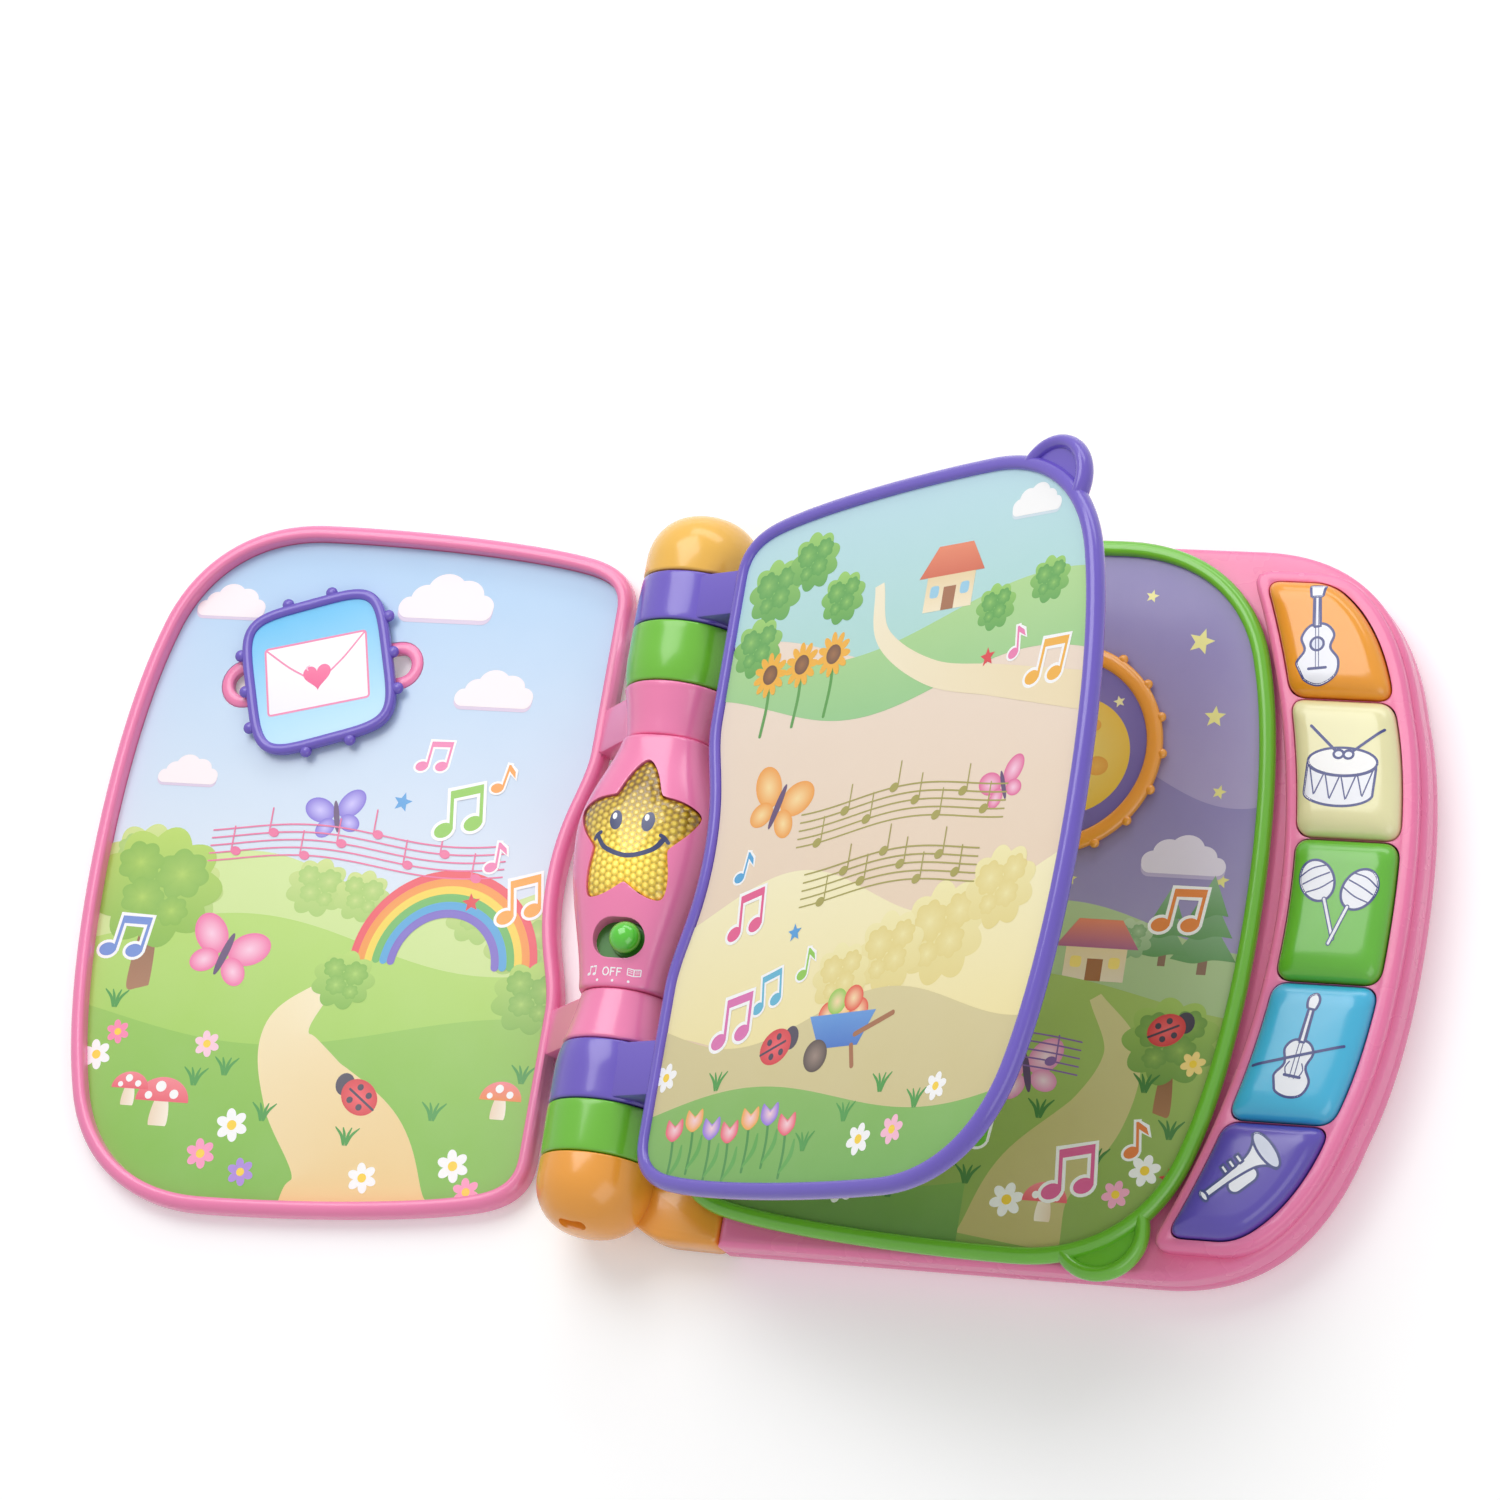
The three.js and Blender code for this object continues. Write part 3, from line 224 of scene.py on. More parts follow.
def resample(points, count):
    """Same closed outline with evenly spaced points."""
    closed = np.vstack([points, points[:1]])
    run = np.r_[0, np.cumsum(np.linalg.norm(np.diff(closed, axis=0), axis=1))]
    at = np.linspace(0, run[-1], count, endpoint=False)
    return np.stack([np.interp(at, run, closed[:, 0]), np.interp(at, run, closed[:, 1])], 1)


def outer_x(points, y):
    """Largest X of an outline at each Y, by scanning its outer side."""
    side = points[points[:, 0] > 100]
    side = side[np.argsort(side[:, 1])]
    return np.interp(y, side[:, 1], side[:, 0])


def round_corners(corners, radius, steps=10):
    """Replaces each corner of a closed polygon that asks for it by a quadratic arc."""
    corners = np.array(corners, float)
    out = []
    for i, here in enumerate(corners):
        r = radius[i] if np.ndim(radius) else radius
        if not r:
            out.append(here[None])
            continue
        before, after = corners[i - 1], corners[(i + 1) % len(corners)]
        start = here + (before - here) / np.linalg.norm(before - here) * r
        end = here + (after - here) / np.linalg.norm(after - here) * r
        t = np.linspace(0, 1, steps + 1)[:, None]
        out.append((1 - t) ** 2 * start + 2 * t * (1 - t) * here + t**2 * end)
    return np.vstack(out)


# Solids: each is an array of vertices and a list of faces


def skin(rings, closed=False):
    """Quads between neighbouring rings of equal length; closed joins the last ring to the first."""
    count = len(rings[0])
    i = np.arange(count)
    j = (i + 1) % count
    faces = []
    for k in range(len(rings) - (not closed)):
        a, b = k * count, (k + 1) % len(rings) * count
        faces += np.stack([a + i, a + j, b + j, b + i], 1).tolist()
    return np.vstack(rings), faces


def loft(levels):
    """Closed solid through rings of equal length, ring by ring, with a flat face at each end."""
    verts, faces = skin(levels)
    i = np.arange(len(levels[0]))
    faces.append(i[::-1].tolist())
    faces.append((len(verts) - len(i) + i).tolist())
    return verts, faces


def raised(points, height):
    return np.c_[points, np.full(len(points), float(height))]


def stack(points, profile):
    """Solid from one outline: each profile entry is [inset, height], from the bottom up."""
    return loft([raised(inset(points, amount), height) for amount, height in profile])


def prism(points, low, high):
    return stack(points, [(0, low), (0, high)])


def arc(x, y, radius, start, end, steps):
    """Points of a circular arc in the profile plane, angles in degrees."""
    angle = np.radians(np.linspace(start, end, steps + 1))
    return [(x + radius * math.cos(a), y + radius * math.sin(a)) for a in angle]


def lathe(profile, sides=128, closed=False):
    """Turns [radius, y] entries about the Y axis; an open profile starts and ends on the axis."""
    angle = np.linspace(0, 2 * math.pi, sides, endpoint=False)
    rings = [np.stack([r * np.sin(angle), np.full(sides, y), r * np.cos(angle)], 1) for r, y in profile]
    return skin(rings, True) if closed else loft(rings)


def joined(*solids):
    verts, faces, start = [], [], 0
    for v, f in solids:
        verts.append(v)
        faces += [[start + k for k in face] for face in f]
        start += len(v)
    return np.vstack(verts), faces


def along_spine(points, y0, y1, rounding=0.8):
    """An outline in X and height carried along Y, with softened ends."""
    profile = [(rounding, y0), (0.3 * rounding, y0 + 0.3 * rounding), (0, y0 + rounding),
               (0, y1 - rounding), (0.3 * rounding, y1 - 0.3 * rounding), (rounding, y1)]
    rings = []
    for amount, y in profile:
        flat = inset(points, amount)
        rings.append(np.stack([flat[:, 0], np.full(len(flat), y), flat[:, 1]], 1))
    return loft(rings[::-1])


def hull(points):
    """Convex outline round 2-D points, anticlockwise."""
    order = sorted(map(tuple, points))

    def half(items):
        chain = []
        for p in items:
            while len(chain) > 1:
                a, b = chain[-2], chain[-1]
                if (b[0] - a[0]) * (p[1] - a[1]) - (b[1] - a[1]) * (p[0] - a[0]) > 1e-9:
                    break
                chain.pop()
            chain.append(p)
        return chain[:-1]

    return np.array(half(order) + half(order[::-1]))


def ball(x, y, z, radius, squash=1.0, sides=24):
    """Ellipsoid of revolution about Z with closed poles."""
    rings = []
    for a in np.linspace(-math.pi / 2 + 0.02, math.pi / 2 - 0.02, 13):
        rings.append(raised(ellipse(x, y, radius * math.cos(a), radius * math.cos(a), sides),
                            z + radius * squash * math.sin(a)))
    return loft(rings)


def tube(path, across, up, sides=20):
    """Closed tube of elliptical section along a flat path of [x, y] at one height."""
    path = np.array(path, float)
    run = np.gradient(path[:, :2], axis=0)
    run /= np.linalg.norm(run, axis=1, keepdims=True)
    side = np.stack([run[:, 1], -run[:, 0]], 1)
    angle = np.linspace(0, 2 * math.pi, sides, endpoint=False)
    rings = []
    for k, point in enumerate(path):
        flat = point[:2] + side[k] * across * np.cos(angle)[:, None]
        rings.append(np.c_[flat, point[2] + up * np.sin(angle)])
    return loft(rings[::-1])


# Objects in the scene


def leaf(turn):
    """Places a leaf's own frame (closed position, height from the axis) at its turn about the spine."""
    c, s = math.cos(math.radians(turn)), math.sin(math.radians(turn))

    def place(v):
        return np.stack([v[:, 0] * c - v[:, 2] * s, v[:, 1], v[:, 0] * s + v[:, 2] * c + AXIS_HEIGHT], 1)

    return place


def on_base(v):
    return v


def on_spine(v):
    return v + [0, 0, AXIS_HEIGHT]


def laid(place, level, side=1, across=1):
    """Puts a print on a face at the level; its layers rise to the side, and across = -1 mirrors X."""
    def at(v):
        return place(np.stack([across * v[:, 0], v[:, 1], level + side * v[:, 2]], 1))

    return at


def raw_object(name, solid, place):
    verts, faces = solid
    world = (place(np.asarray(verts, float)) + [SHIFT, 0, 0]) * 0.001
    mesh = bpy.data.meshes.new(name)
    mesh.from_pydata(world.tolist(), [], faces)
    mesh.validate()
    obj = bpy.data.objects.new(name, mesh)
    bpy.context.scene.collection.objects.link(obj)
    return obj


def outward(obj):
    """Turns every shell's faces outwards."""
    bm = bmesh.new()
    bm.from_mesh(obj.data)
    bmesh.ops.recalc_face_normals(bm, faces=bm.faces)
    bm.to_mesh(obj.data)
    bm.free()


def cut(obj, tools, place):
    """Takes a tool solid away from the object's mesh."""
    tool = raw_object("tool", tools, place)
    outward(tool)
    modifier = obj.modifiers.new("cut", "BOOLEAN")
    modifier.object = tool
    modifier.operation = "DIFFERENCE"
    modifier.solver = "EXACT"
    modifier.use_self = True
    settle(obj)
    bpy.data.objects.remove(tool)


def soften(obj, width, angle=35):
    """Small rounded edges wherever faces meet at more than the angle."""
    modifier = obj.modifiers.new("soften", "BEVEL")
    modifier.width = width * 0.001
    modifier.segments = 2
    modifier.limit_method = "ANGLE"
    modifier.angle_limit = math.radians(angle)
    modifier.use_clamp_overlap = True
    modifier.harden_normals = False
    settle(obj)


def settle(obj):
    """Applies the object's modifiers to its mesh."""
    graph = bpy.context.evaluated_depsgraph_get()
    made = bpy.data.meshes.new_from_object(obj.evaluated_get(graph))
    obj.modifiers.clear()
    old = obj.data
    obj.data = made
    bpy.data.meshes.remove(old)


def opened(name, solid, place, *tools):
    """Object of a solid with holes cut through it."""
    obj = raw_object(name, solid, place)
    outward(obj)
    for tool in tools:
        cut(obj, tool, place)
    return obj


def finish_piece(obj, body, material, replaced=(), sharp=38):
    """Smooth shading up to the sharp angle, one material, and the body that the piece moves with."""
    outward(obj)
    obj.data.polygons.foreach_set("use_smooth", [True] * len(obj.data.polygons))
    obj.data.set_sharp_from_angle(angle=math.radians(sharp))
    obj.data.materials.clear()
    obj.data.materials.append(material)
    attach(obj, body)
    if replaced:
        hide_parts(*replaced)
    return obj


def make(name, solid, place, body, material, replaced=(), sharp=38):
    return finish_piece(raw_object(name, solid, place), body, material, replaced, sharp)


# Materials


def srgb(text):
    """Linear colour from a hex string."""
    parts = [int(text[i:i + 2], 16) / 255 for i in (0, 2, 4)]
    return [p / 12.92 if p <= 0.04045 else ((p + 0.055) / 1.055) ** 2.4 for p in parts] + [1.0]


def fill_sockets(tree, node, sockets):
    """Gives each named socket its own value, or a link from a Shade or another node's socket."""
    for name, value in sockets.items():
        slot = node.inputs[name]
        value = value.socket if isinstance(value, Shade) else value
        if isinstance(value, bpy.types.NodeSocket):
            tree.links.new(value, slot)
        else:
            slot.default_value = value


def add_node(tree, kind, settings, sockets):
    """A node of one type, with its settings by name and the values or links of its sockets."""
    node = tree.nodes.new("ShaderNode" + kind)
    for name, value in settings.items():
        setattr(node, name, value)
    fill_sockets(tree, node, sockets)
    return node


class Shade:
    """A float socket with arithmetic that adds Math nodes to its tree."""

    def __init__(self, tree, socket):
        self.tree, self.socket = tree, socket

    def math(self, operation, *others, clamp=False):
        settings = {"operation": operation, "use_clamp": clamp}
        node = add_node(self.tree, "Math", settings, dict(enumerate((self, *others))))
        return Shade(self.tree, node.outputs[0])

    def __add__(self, other):
        return self.math("ADD", other)

    __radd__ = __add__

    def __mul__(self, other):
        return self.math("MULTIPLY", other)

    __rmul__ = __mul__

    def __sub__(self, other):
        return self.math("SUBTRACT", other)

    def __rsub__(self, other):
        return (self * -1) + other

    def ramp(self, low, high):
        """0 below low, 1 above high, straight between."""
        return ((self - low) * (1 / (high - low))).math("ADD", 0.0, clamp=True)


def new_material(name):
    material = bpy.data.materials.new(name)
    material.use_nodes = True
    return material, material.node_tree, material.node_tree.nodes["Principled BSDF"]


def places(tree):
    """Object coordinates in metres, as a vector socket."""
    return add_node(tree, "TexCoord", {}, {}).outputs["Object"]


def noise(tree, scale, detail=3.0):
    node = add_node(tree, "TexNoise", {},
                    {"Scale": scale, "Detail": detail, "Roughness": 0.5, "Vector": places(tree)})
    return Shade(tree, node.outputs["Fac"])


def axes(tree):
    """Object coordinates in metres as three floats."""
    split = add_node(tree, "SeparateXYZ", {}, {0: places(tree)})
    return [Shade(tree, split.outputs[i]) for i in range(3)]


def blend(tree, factor, low, high):
    """Colour mix; low and high are colours or colour sockets."""
    return add_node(tree, "Mix", {"data_type": "RGBA"}, {0: factor, 6: low, 7: high}).outputs[2]


def bump(tree, height, strength, distance):
    sockets = {"Strength": strength, "Distance": distance, "Height": height}
    return add_node(tree, "Bump", {}, sockets).outputs["Normal"]


def tinted(colour, share):
    """A colour made darker or lighter by a share."""
    return [min(1.0, c * share) for c in srgb(colour)[:3]] + [1.0]


def plastic(name, colour, gloss=0.24, coat=0.35, grain=0.015):
    """Moulded ABS: faint flow mottling, a fine moulded grain and slightly uneven gloss."""
    material, tree, shader = new_material(name)
    fill_sockets(tree, shader, {
        "Base Color": blend(tree, noise(tree, 22.0, 2.0), tinted(colour, 0.93), tinted(colour, 1.05)),
        "Roughness": noise(tree, 60.0) * 0.06 + (gloss - 0.03),
        "Normal": bump(tree, noise(tree, 2600.0, 2.0), grain, 0.00008),
        "Coat Weight": coat,
        "Coat Roughness": 0.1,
    })
    return material


def film(tree, shader, print_colour):
    """Satin laminate over a print with faint paper mottling."""
    fill_sockets(tree, shader, {
        "Base Color": print_colour,
        "Roughness": noise(tree, 90.0) * 0.08 + 0.30,
        "Coat Weight": 0.25,
        "Coat Roughness": 0.18,
        "Normal": bump(tree, noise(tree, 1500.0, 2.0), 0.04, 0.00006),
    })


def printed_card(name, low_colour, high_colour, low, high):
    """Laminated print: a colour field that runs from low to high along Y, in millimetres."""
    material, tree, shader = new_material(name)
    share = axes(tree)[1].ramp(low * 0.001, high * 0.001)
    colour = blend(tree, share, srgb(low_colour), srgb(high_colour))
    film(tree, shader, blend(tree, noise(tree, 60.0) * 0.06, colour, WHITE))
    return material


def ink_material():
    """Print inks: colour from the mesh's own ink attribute, finish as the laminate."""
    material, tree, shader = new_material("print_ink")
    ink = add_node(tree, "Attribute", {"attribute_name": "ink"}, {})
    film(tree, shader, blend(tree, noise(tree, 60.0) * 0.05, ink.outputs["Color"], WHITE))
    return material


def metal(name, colour, rough):
    material, tree, shader = new_material(name)
    fill_sockets(tree, shader, {
        "Metallic": 1.0,
        "Base Color": blend(tree, noise(tree, 300.0), tinted(colour, 0.85), srgb(colour)),
        "Roughness": noise(tree, 500.0) * 0.15 + rough,
    })
    return material


def star_material():
    """Amber lens: dimples on a triangular grid (sum of three cosines), with painted shade in the hollows
    between them, a painted highlight on their tops and a warm painted glow of the lamp, in the base colour
    and as emission.
    """
    material, tree, shader = new_material("amber_lens_painted_light")
    x, y, _ = axes(tree)
    pitch = 0.0024
    wave = 4 * math.pi / (math.sqrt(3) * pitch)
    half, lean = x * (wave / 2), y * (wave * math.sqrt(3) / 2)
    lattice = (x * wave).math("COSINE") + (half + lean).math("COSINE") + (half - lean).math("COSINE")
    dome = lattice.ramp(-0.9, 1.6)
    # Painted shade: dark base colour where the bump height is lowest, in the hollows between the domes.
    rim = lattice.ramp(-1.5, -0.4)
    # Painted glow of the lamp: a warm pool of light centred 9 mm below the star's middle.
    glow_x = x - SHIFT * 0.001
    glow_y = y - (STAR_CENTRE - 9.0) * 0.001
    painted_glow = 1.0 - (glow_x * glow_x + glow_y * glow_y).math("SQRT").ramp(0.003, 0.024)
    # Both colours are lighter on the domes' tops, a painted highlight; the second is the colour inside the
    # painted glow.
    amber = blend(tree, dome, srgb("9c7708"), srgb("d9b421"))
    lit = blend(tree, dome, srgb("f3c81c"), srgb("fff27a"))
    fill_sockets(tree, shader, {
        # Base colour with painted shade, painted highlight and painted glow; the emission is the painted glow
        # too, dim all over and bright at the lamp, as the lens gives no light itself.
        "Base Color": blend(tree, rim, srgb("6b4f06"), blend(tree, painted_glow, amber, lit)),
        "Emission Color": blend(tree, painted_glow, srgb("3c2a00"), srgb("ffdf4a")),
        "Emission Strength": 0.5,
        "Roughness": 0.14,
        "Coat Weight": 0.5,
        "Normal": bump(tree, dome, 0.8, 0.0006),
    })
    return material


pink = plastic("pink_abs", "f985b6")
pink_deep = plastic("pink_abs_base", "f77fb0", gloss=0.27, coat=0.2, grain=0.004)
purple = plastic("purple_abs", "6c57c4")
green = plastic("green_abs", "6fc22e")
orange = plastic("orange_abs", "f7a436")
yellow = plastic("yellow_abs", "f6bd4c")
key_paints = {
    "key_orange": plastic("key_orange_abs", "f6a021"),
    "key_cream": plastic("key_cream_abs", "f1ecb6"),
    "key_green": plastic("key_green_abs", "63bd2c"),
    "key_cyan": plastic("key_cyan_abs", "3fbbe6"),
    "key_purple": plastic("key_purple_abs", "5b49b8"),
}
dark_green = plastic("switch_recess_green", "2f7d1c", gloss=0.4, coat=0.1)
knob_green = plastic("switch_knob_green", "4fd01f", gloss=0.16, coat=0.7)
grey = plastic("grey_abs", "8c8c90", gloss=0.45, coat=0.0)
black = plastic("black_moulding", "2b2b2e", gloss=0.5, coat=0.0)
board_green = plastic("board_green", "2f7a4a", gloss=0.4, coat=0.2)
lamp_white = plastic("lamp_white", "f4ecd0", gloss=0.2)
steel = metal("zinc_steel", "b9bcc2", 0.28)
cell_wrap = plastic("cell_wrap", "3a4b7a", gloss=0.3)
inks = ink_material()

# Printed artwork


class Print:
    """Flat ink shapes on a surface: each is an open sheet that lies over the ones drawn before it.

    height gives the surface, start the lowest lift over it, keep draws points back to the card, a
    spacing adds grid points for curved surfaces, and hand = -1 mirrors notes for a mirrored side.
    """

    STEP = 0.006

    def __init__(self, height=lambda x, y: 0.0 * x, start=0.02, keep=None, spacing=None, hand=1):
        self.height, self.start, self.keep, self.spacing, self.hand = height, start, keep, spacing, hand
        self.verts, self.faces, self.colours, self.boxes = [], [], [], []

    def layer(self, points):
        """Lift of the next shape: one step over the highest shape that its box meets."""
        low, high = points.min(0), points.max(0)
        level = 0
        for other_low, other_high, other_level in self.boxes:
            if np.all(low < other_high) and np.all(other_low < high):
                level = max(level, other_level + 1)
        self.boxes.append((low, high, level))
        return self.start + self.STEP * (level + 1)

    def add(self, points, faces, colours, lift):
        """Faces laid over the surface at the lift, inside the card's edge."""
        base = sum(len(v) for v in self.verts)
        if self.keep:
            points = self.keep(points)
        z = self.height(points[:, 0], points[:, 1])
        self.verts.append(np.c_[points, z + lift])
        self.faces += [[base + k for k in face] for face in faces]
        self.colours.append(colours)

    def fill(self, points, colour, far_colour=None, along=(0, 1)):
        """One polygon; with a second colour, the ink runs straight from one to the other."""
        points = np.asarray(points, float)
        near = np.array(srgb(colour))
        colours = np.tile(near, (len(points), 1))
        if far_colour:
            far = np.array(srgb(far_colour))
            place = points @ np.array(along, float)
            share = ((place - place.min()) / (np.ptp(place) + 1e-9))[:, None]
            colours = near * (1 - share) + far * share
        if self.spacing:
            points, faces = meshed(points, self.spacing)
            self.add(points, faces, np.tile(near, (len(points), 1)), self.layer(points))
            return
        self.add(points, [list(range(len(points)))], colours, self.layer(points))

    def round(self, points, rim, middle, centre=None, power=1.0):
        """A star-shaped form shaded from its rim to its middle in four rings."""
        points = np.asarray(points, float)
        centre = points.mean(0) if centre is None else np.array(centre, float)
        count = len(points)
        rim, middle = np.array(srgb(rim)), np.array(srgb(middle))
        shares = (1.0, 0.85, 0.6, 0.3, 0.02)
        rings = [centre + (points - centre) * s for s in shares]
        colours = [np.tile(rim * s**power + middle * (1 - s**power), (count, 1)) for s in shares]
        faces = []
        for k in range(len(shares) - 1):
            for i in range(count):
                j = (i + 1) % count
                faces.append([k * count + i, k * count + j, (k + 1) * count + j, (k + 1) * count + i])
        faces.append([(len(shares) - 1) * count + i for i in range(count)])
        self.add(np.vstack(rings), faces, np.vstack(colours), self.layer(points))

    def stroke(self, path, width, colour, taper=False, closed=False):
        """A line of the given width along a path, with round ends."""
        path = np.asarray(path, float)
        if closed:
            path = np.vstack([path, path[:1]])
        run = np.gradient(path, axis=0)
        run /= np.linalg.norm(run, axis=1, keepdims=True) + 1e-9
        side = np.stack([-run[:, 1], run[:, 0]], 1)
        wide = np.full(len(path), width / 2.0)
        if taper:
            wide = wide * np.sin(np.linspace(0.35, math.pi - 0.35, len(path)))
        left, right = path + side * wide[:, None], path - side * wide[:, None]
        count = len(path)
        points = [left, right]
        faces = [[count + k, count + k + 1, k + 1, k] for k in range(count - 1)]
        if not closed and not taper:
            turns = np.linspace(0, math.pi, 8)[1:-1, None]
            for end, way, first, last in ((0, -1, 0, count), (-1, 1, 2 * count - 1, count - 1)):
                rounded = way * np.sin(turns) * run[end] - way * np.cos(turns) * side[end]
                start = sum(len(p) for p in points)
                points.append(path[end] + wide[end] * rounded)
                faces.append([first, *range(start, start + 6), last])
        points = np.vstack(points)
        self.add(points, faces, np.tile(srgb(colour), (len(points), 1)), self.layer(points))

    def ribbon(self, path, widths, colour, far_colour):
        """A way of changing width along a path, running from one colour to the other."""
        path, widths = np.asarray(path, float), np.asarray(widths, float)[:, None]
        run = np.gradient(path, axis=0)
        run /= np.linalg.norm(run, axis=1, keepdims=True)
        side = np.stack([-run[:, 1], run[:, 0]], 1) * widths / 2
        count = len(path)
        points = np.vstack([path + side, path - side])
        faces = [[count + k, count + k + 1, k + 1, k] for k in range(count - 1)]
        share = np.tile(np.linspace(0, 1, count), 2)[:, None]
        near, far = np.array(srgb(colour)), np.array(srgb(far_colour))
        self.add(points, faces, near * (1 - share) + far * share, self.layer(points))

    def build(self, name, place, body):
        """Makes the piece, with the inks in its colour attribute."""
        verts = np.vstack(self.verts)
        obj = raw_object(name, (verts, self.faces), place)
        ink = obj.data.color_attributes.new("ink", "FLOAT_COLOR", "POINT")
        ink.data.foreach_set("color", np.vstack(self.colours).astype(np.float32).ravel())
        obj.data.materials.append(inks)
        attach(obj, body)


def within(places, outline):
    """Even-odd test of places against a closed outline."""
    start, end = outline, np.roll(outline, -1, 0)
    x, y = places[:, :1], places[:, 1:]
    crossing = (start[:, 1] > y) != (end[:, 1] > y)
    share = (y - start[:, 1]) / (end[:, 1] - start[:, 1] + 1e-12)
    return (crossing & (x < start[:, 0] + share * (end[:, 0] - start[:, 0]))).sum(1) % 2 == 1


def meshed(outline, spacing):
    """Triangles of a flat outline with grid points inside it, so that ink can follow a curved surface."""
    low, high = outline.min(0), outline.max(0)
    across, up = np.meshgrid(np.arange(low[0], high[0], spacing), np.arange(low[1], high[1], spacing))
    places = np.stack([across.ravel(), up.ravel()], 1)
    places = places[within(places, outline)]
    count = len(outline)
    edges = [(k, (k + 1) % count) for k in range(count)]
    made = delaunay_2d_cdt([Vector(p) for p in np.vstack([outline, places])], edges, [], 1, 1e-4)
    return np.array([tuple(v) for v in made[0]]), [list(face) for face in made[2]]


def curve(*points, steps=14):
    """Smooth open path through points (Catmull-Rom)."""
    p = np.array(points, float)
    p = np.vstack([2 * p[0] - p[1], p, 2 * p[-1] - p[-2]])
    out = []
    for i in range(1, len(p) - 2):
        t = np.linspace(0, 1, steps, endpoint=False)[:, None]
        a, b, c, d = p[i - 1:i + 3]
        square, cube = 2 * a - 5 * b + 4 * c - d, 3 * b - a - 3 * c + d
        out.append(0.5 * (2 * b + (c - a) * t + square * t**2 + cube * t**3))
    return np.vstack(out + [p[-2:-1]])


def loop(*points, steps=10):
    """Smooth closed outline through points."""
    p = list(points)
    path = curve(*(p[-2:] + p + p[:2]), steps=steps)
    return path[2 * steps:-2 * steps]


def trapezoid(x, low, low_half, high, high_half):
    """Four corners: half widths round X at two heights."""
    return [(x - low_half, low), (x + low_half, low), (x + high_half, high), (x - high_half, high)]


def note(sheet, x, y, size, colour, tilt=0.0, pair=True):
    """A quaver or a beamed pair in one colour with a white edge."""
    turn = turn_matrix(tilt)

    def at(points):
        return (np.asarray(points, float) * [sheet.hand, 1]) @ turn.T * size + [x, y]

    for grow, ink in ((0.09, "ffffff"), (0.0, colour)):
        heads = [(-0.42, -0.5), (0.42, -0.38)] if pair else [(-0.2, -0.5)]
        for hx, hy in heads:
            sheet.fill(at(ellipse(hx, hy, 0.27 + grow, 0.2 + grow, 20, 20)), ink)
            left, right, top = hx + 0.17 - grow, hx + 0.27 + grow, hy + 1.05 + grow
            sheet.fill(at([(left, hy), (right, hy), (right, top), (left, top)]), ink)
        if pair:
            left, right = -0.25 - grow, 0.69 + grow
            joint = [(left, 0.35 - grow), (right, 0.47 - grow), (right, 0.7 + grow), (left, 0.58 + grow)]
        else:
            joint = [(0.05, 0.55 + grow), (0.07, 0.3 - grow), (0.42 + grow, 0.05 - grow),
                     (0.34 + grow, 0.32 + grow)]
        sheet.fill(at(joint), ink)


def star_shape(x, y, radius, tilt=0.0, depth=0.45):
    angle = np.linspace(0, 2 * math.pi, 10, endpoint=False) + math.radians(90 + tilt)
    reach = np.where(np.arange(10) % 2 == 0, radius, radius * depth)
    return np.stack([x + reach * np.cos(angle), y + reach * np.sin(angle)], 1)


def cloud(sheet, x, y, size, bright="fdf2f6", shadow="dccbe4"):
    """Puffs in one light colour over the same puffs set lower in a soft shadow colour."""
    puffs = [(-0.95, -0.1, 0.42), (-0.45, 0.22, 0.55), (0.2, 0.34, 0.62), (0.8, 0.08, 0.5),
             (1.3, -0.15, 0.32)]
    for drop, ink in ((-0.13, shadow), (0.0, bright)):
        for px, py, r in puffs:
            middle = (x + px * size, y + (py + drop) * size)
            sheet.fill(ellipse(*middle, r * size, r * size * 0.86, 32), ink)
        sheet.fill(obround(x + 0.15 * size, y + (-0.22 + drop) * size, 3.0 * size, 0.62 * size), ink)


def crown(sheet, x, y, size, leaf_colour, shade_colour, lobes=9):
    """Scalloped leaf mass: the radius is raised by half-waves round the edge; lighter tufts lie inside."""
    angle = np.linspace(0, 2 * math.pi, 90, endpoint=False)

    def tuft(cx, cy, radius, count):
        edge = radius * (0.9 + 0.2 * np.abs(np.sin(count * angle / 2 + cx)))
        return np.stack([x + cx * size + 1.12 * edge * np.cos(angle),
                         y + cy * size + edge * np.sin(angle)], 1)

    sheet.fill(tuft(0, 0, size, lobes), shade_colour, leaf_colour)
    for cx, cy, share in ((-0.42, 0.25, 0.42), (0.4, 0.42, 0.36), (0.25, -0.2, 0.34), (-0.35, -0.42, 0.26)):
        sheet.round(tuft(cx, cy, share * size, 7), shade_colour, leaf_colour, power=0.35)


def conifer(sheet, x, y, size, colour, far_colour):
    """Fir of three overlapping skirts on a short trunk."""
    sheet.fill(trapezoid(x, y, 0.1 * size, y + 0.5 * size, 0.1 * size), "8c6a58")
    for low, high, half in ((0.3, 1.25, 0.7), (0.8, 1.7, 0.55), (1.25, 2.1, 0.4)):
        skirt = curve((x - half * size, y + low * size),
                      (x - 0.3 * half * size, y + (low - 0.07) * size),
                      (x + 0.3 * half * size, y + (low + 0.02) * size),
                      (x + half * size, y + low * size))
        sheet.fill(np.vstack([skirt, [[x, y + high * size]]]), colour, far_colour)


def tree(sheet, x, y, size, leaf_colour="c3dc62", shade_colour="8fbf45"):
    trunk = loop((x - 0.16 * size, y), (x - 0.1 * size, y + 0.9 * size),
                 (x + 0.12 * size, y + 0.9 * size), (x + 0.2 * size, y), (x, y - 0.05 * size))
    sheet.fill(trunk, "a9744f", "8c5c3c")
    crown(sheet, x, y + 1.5 * size, size * 0.85, leaf_colour, shade_colour)


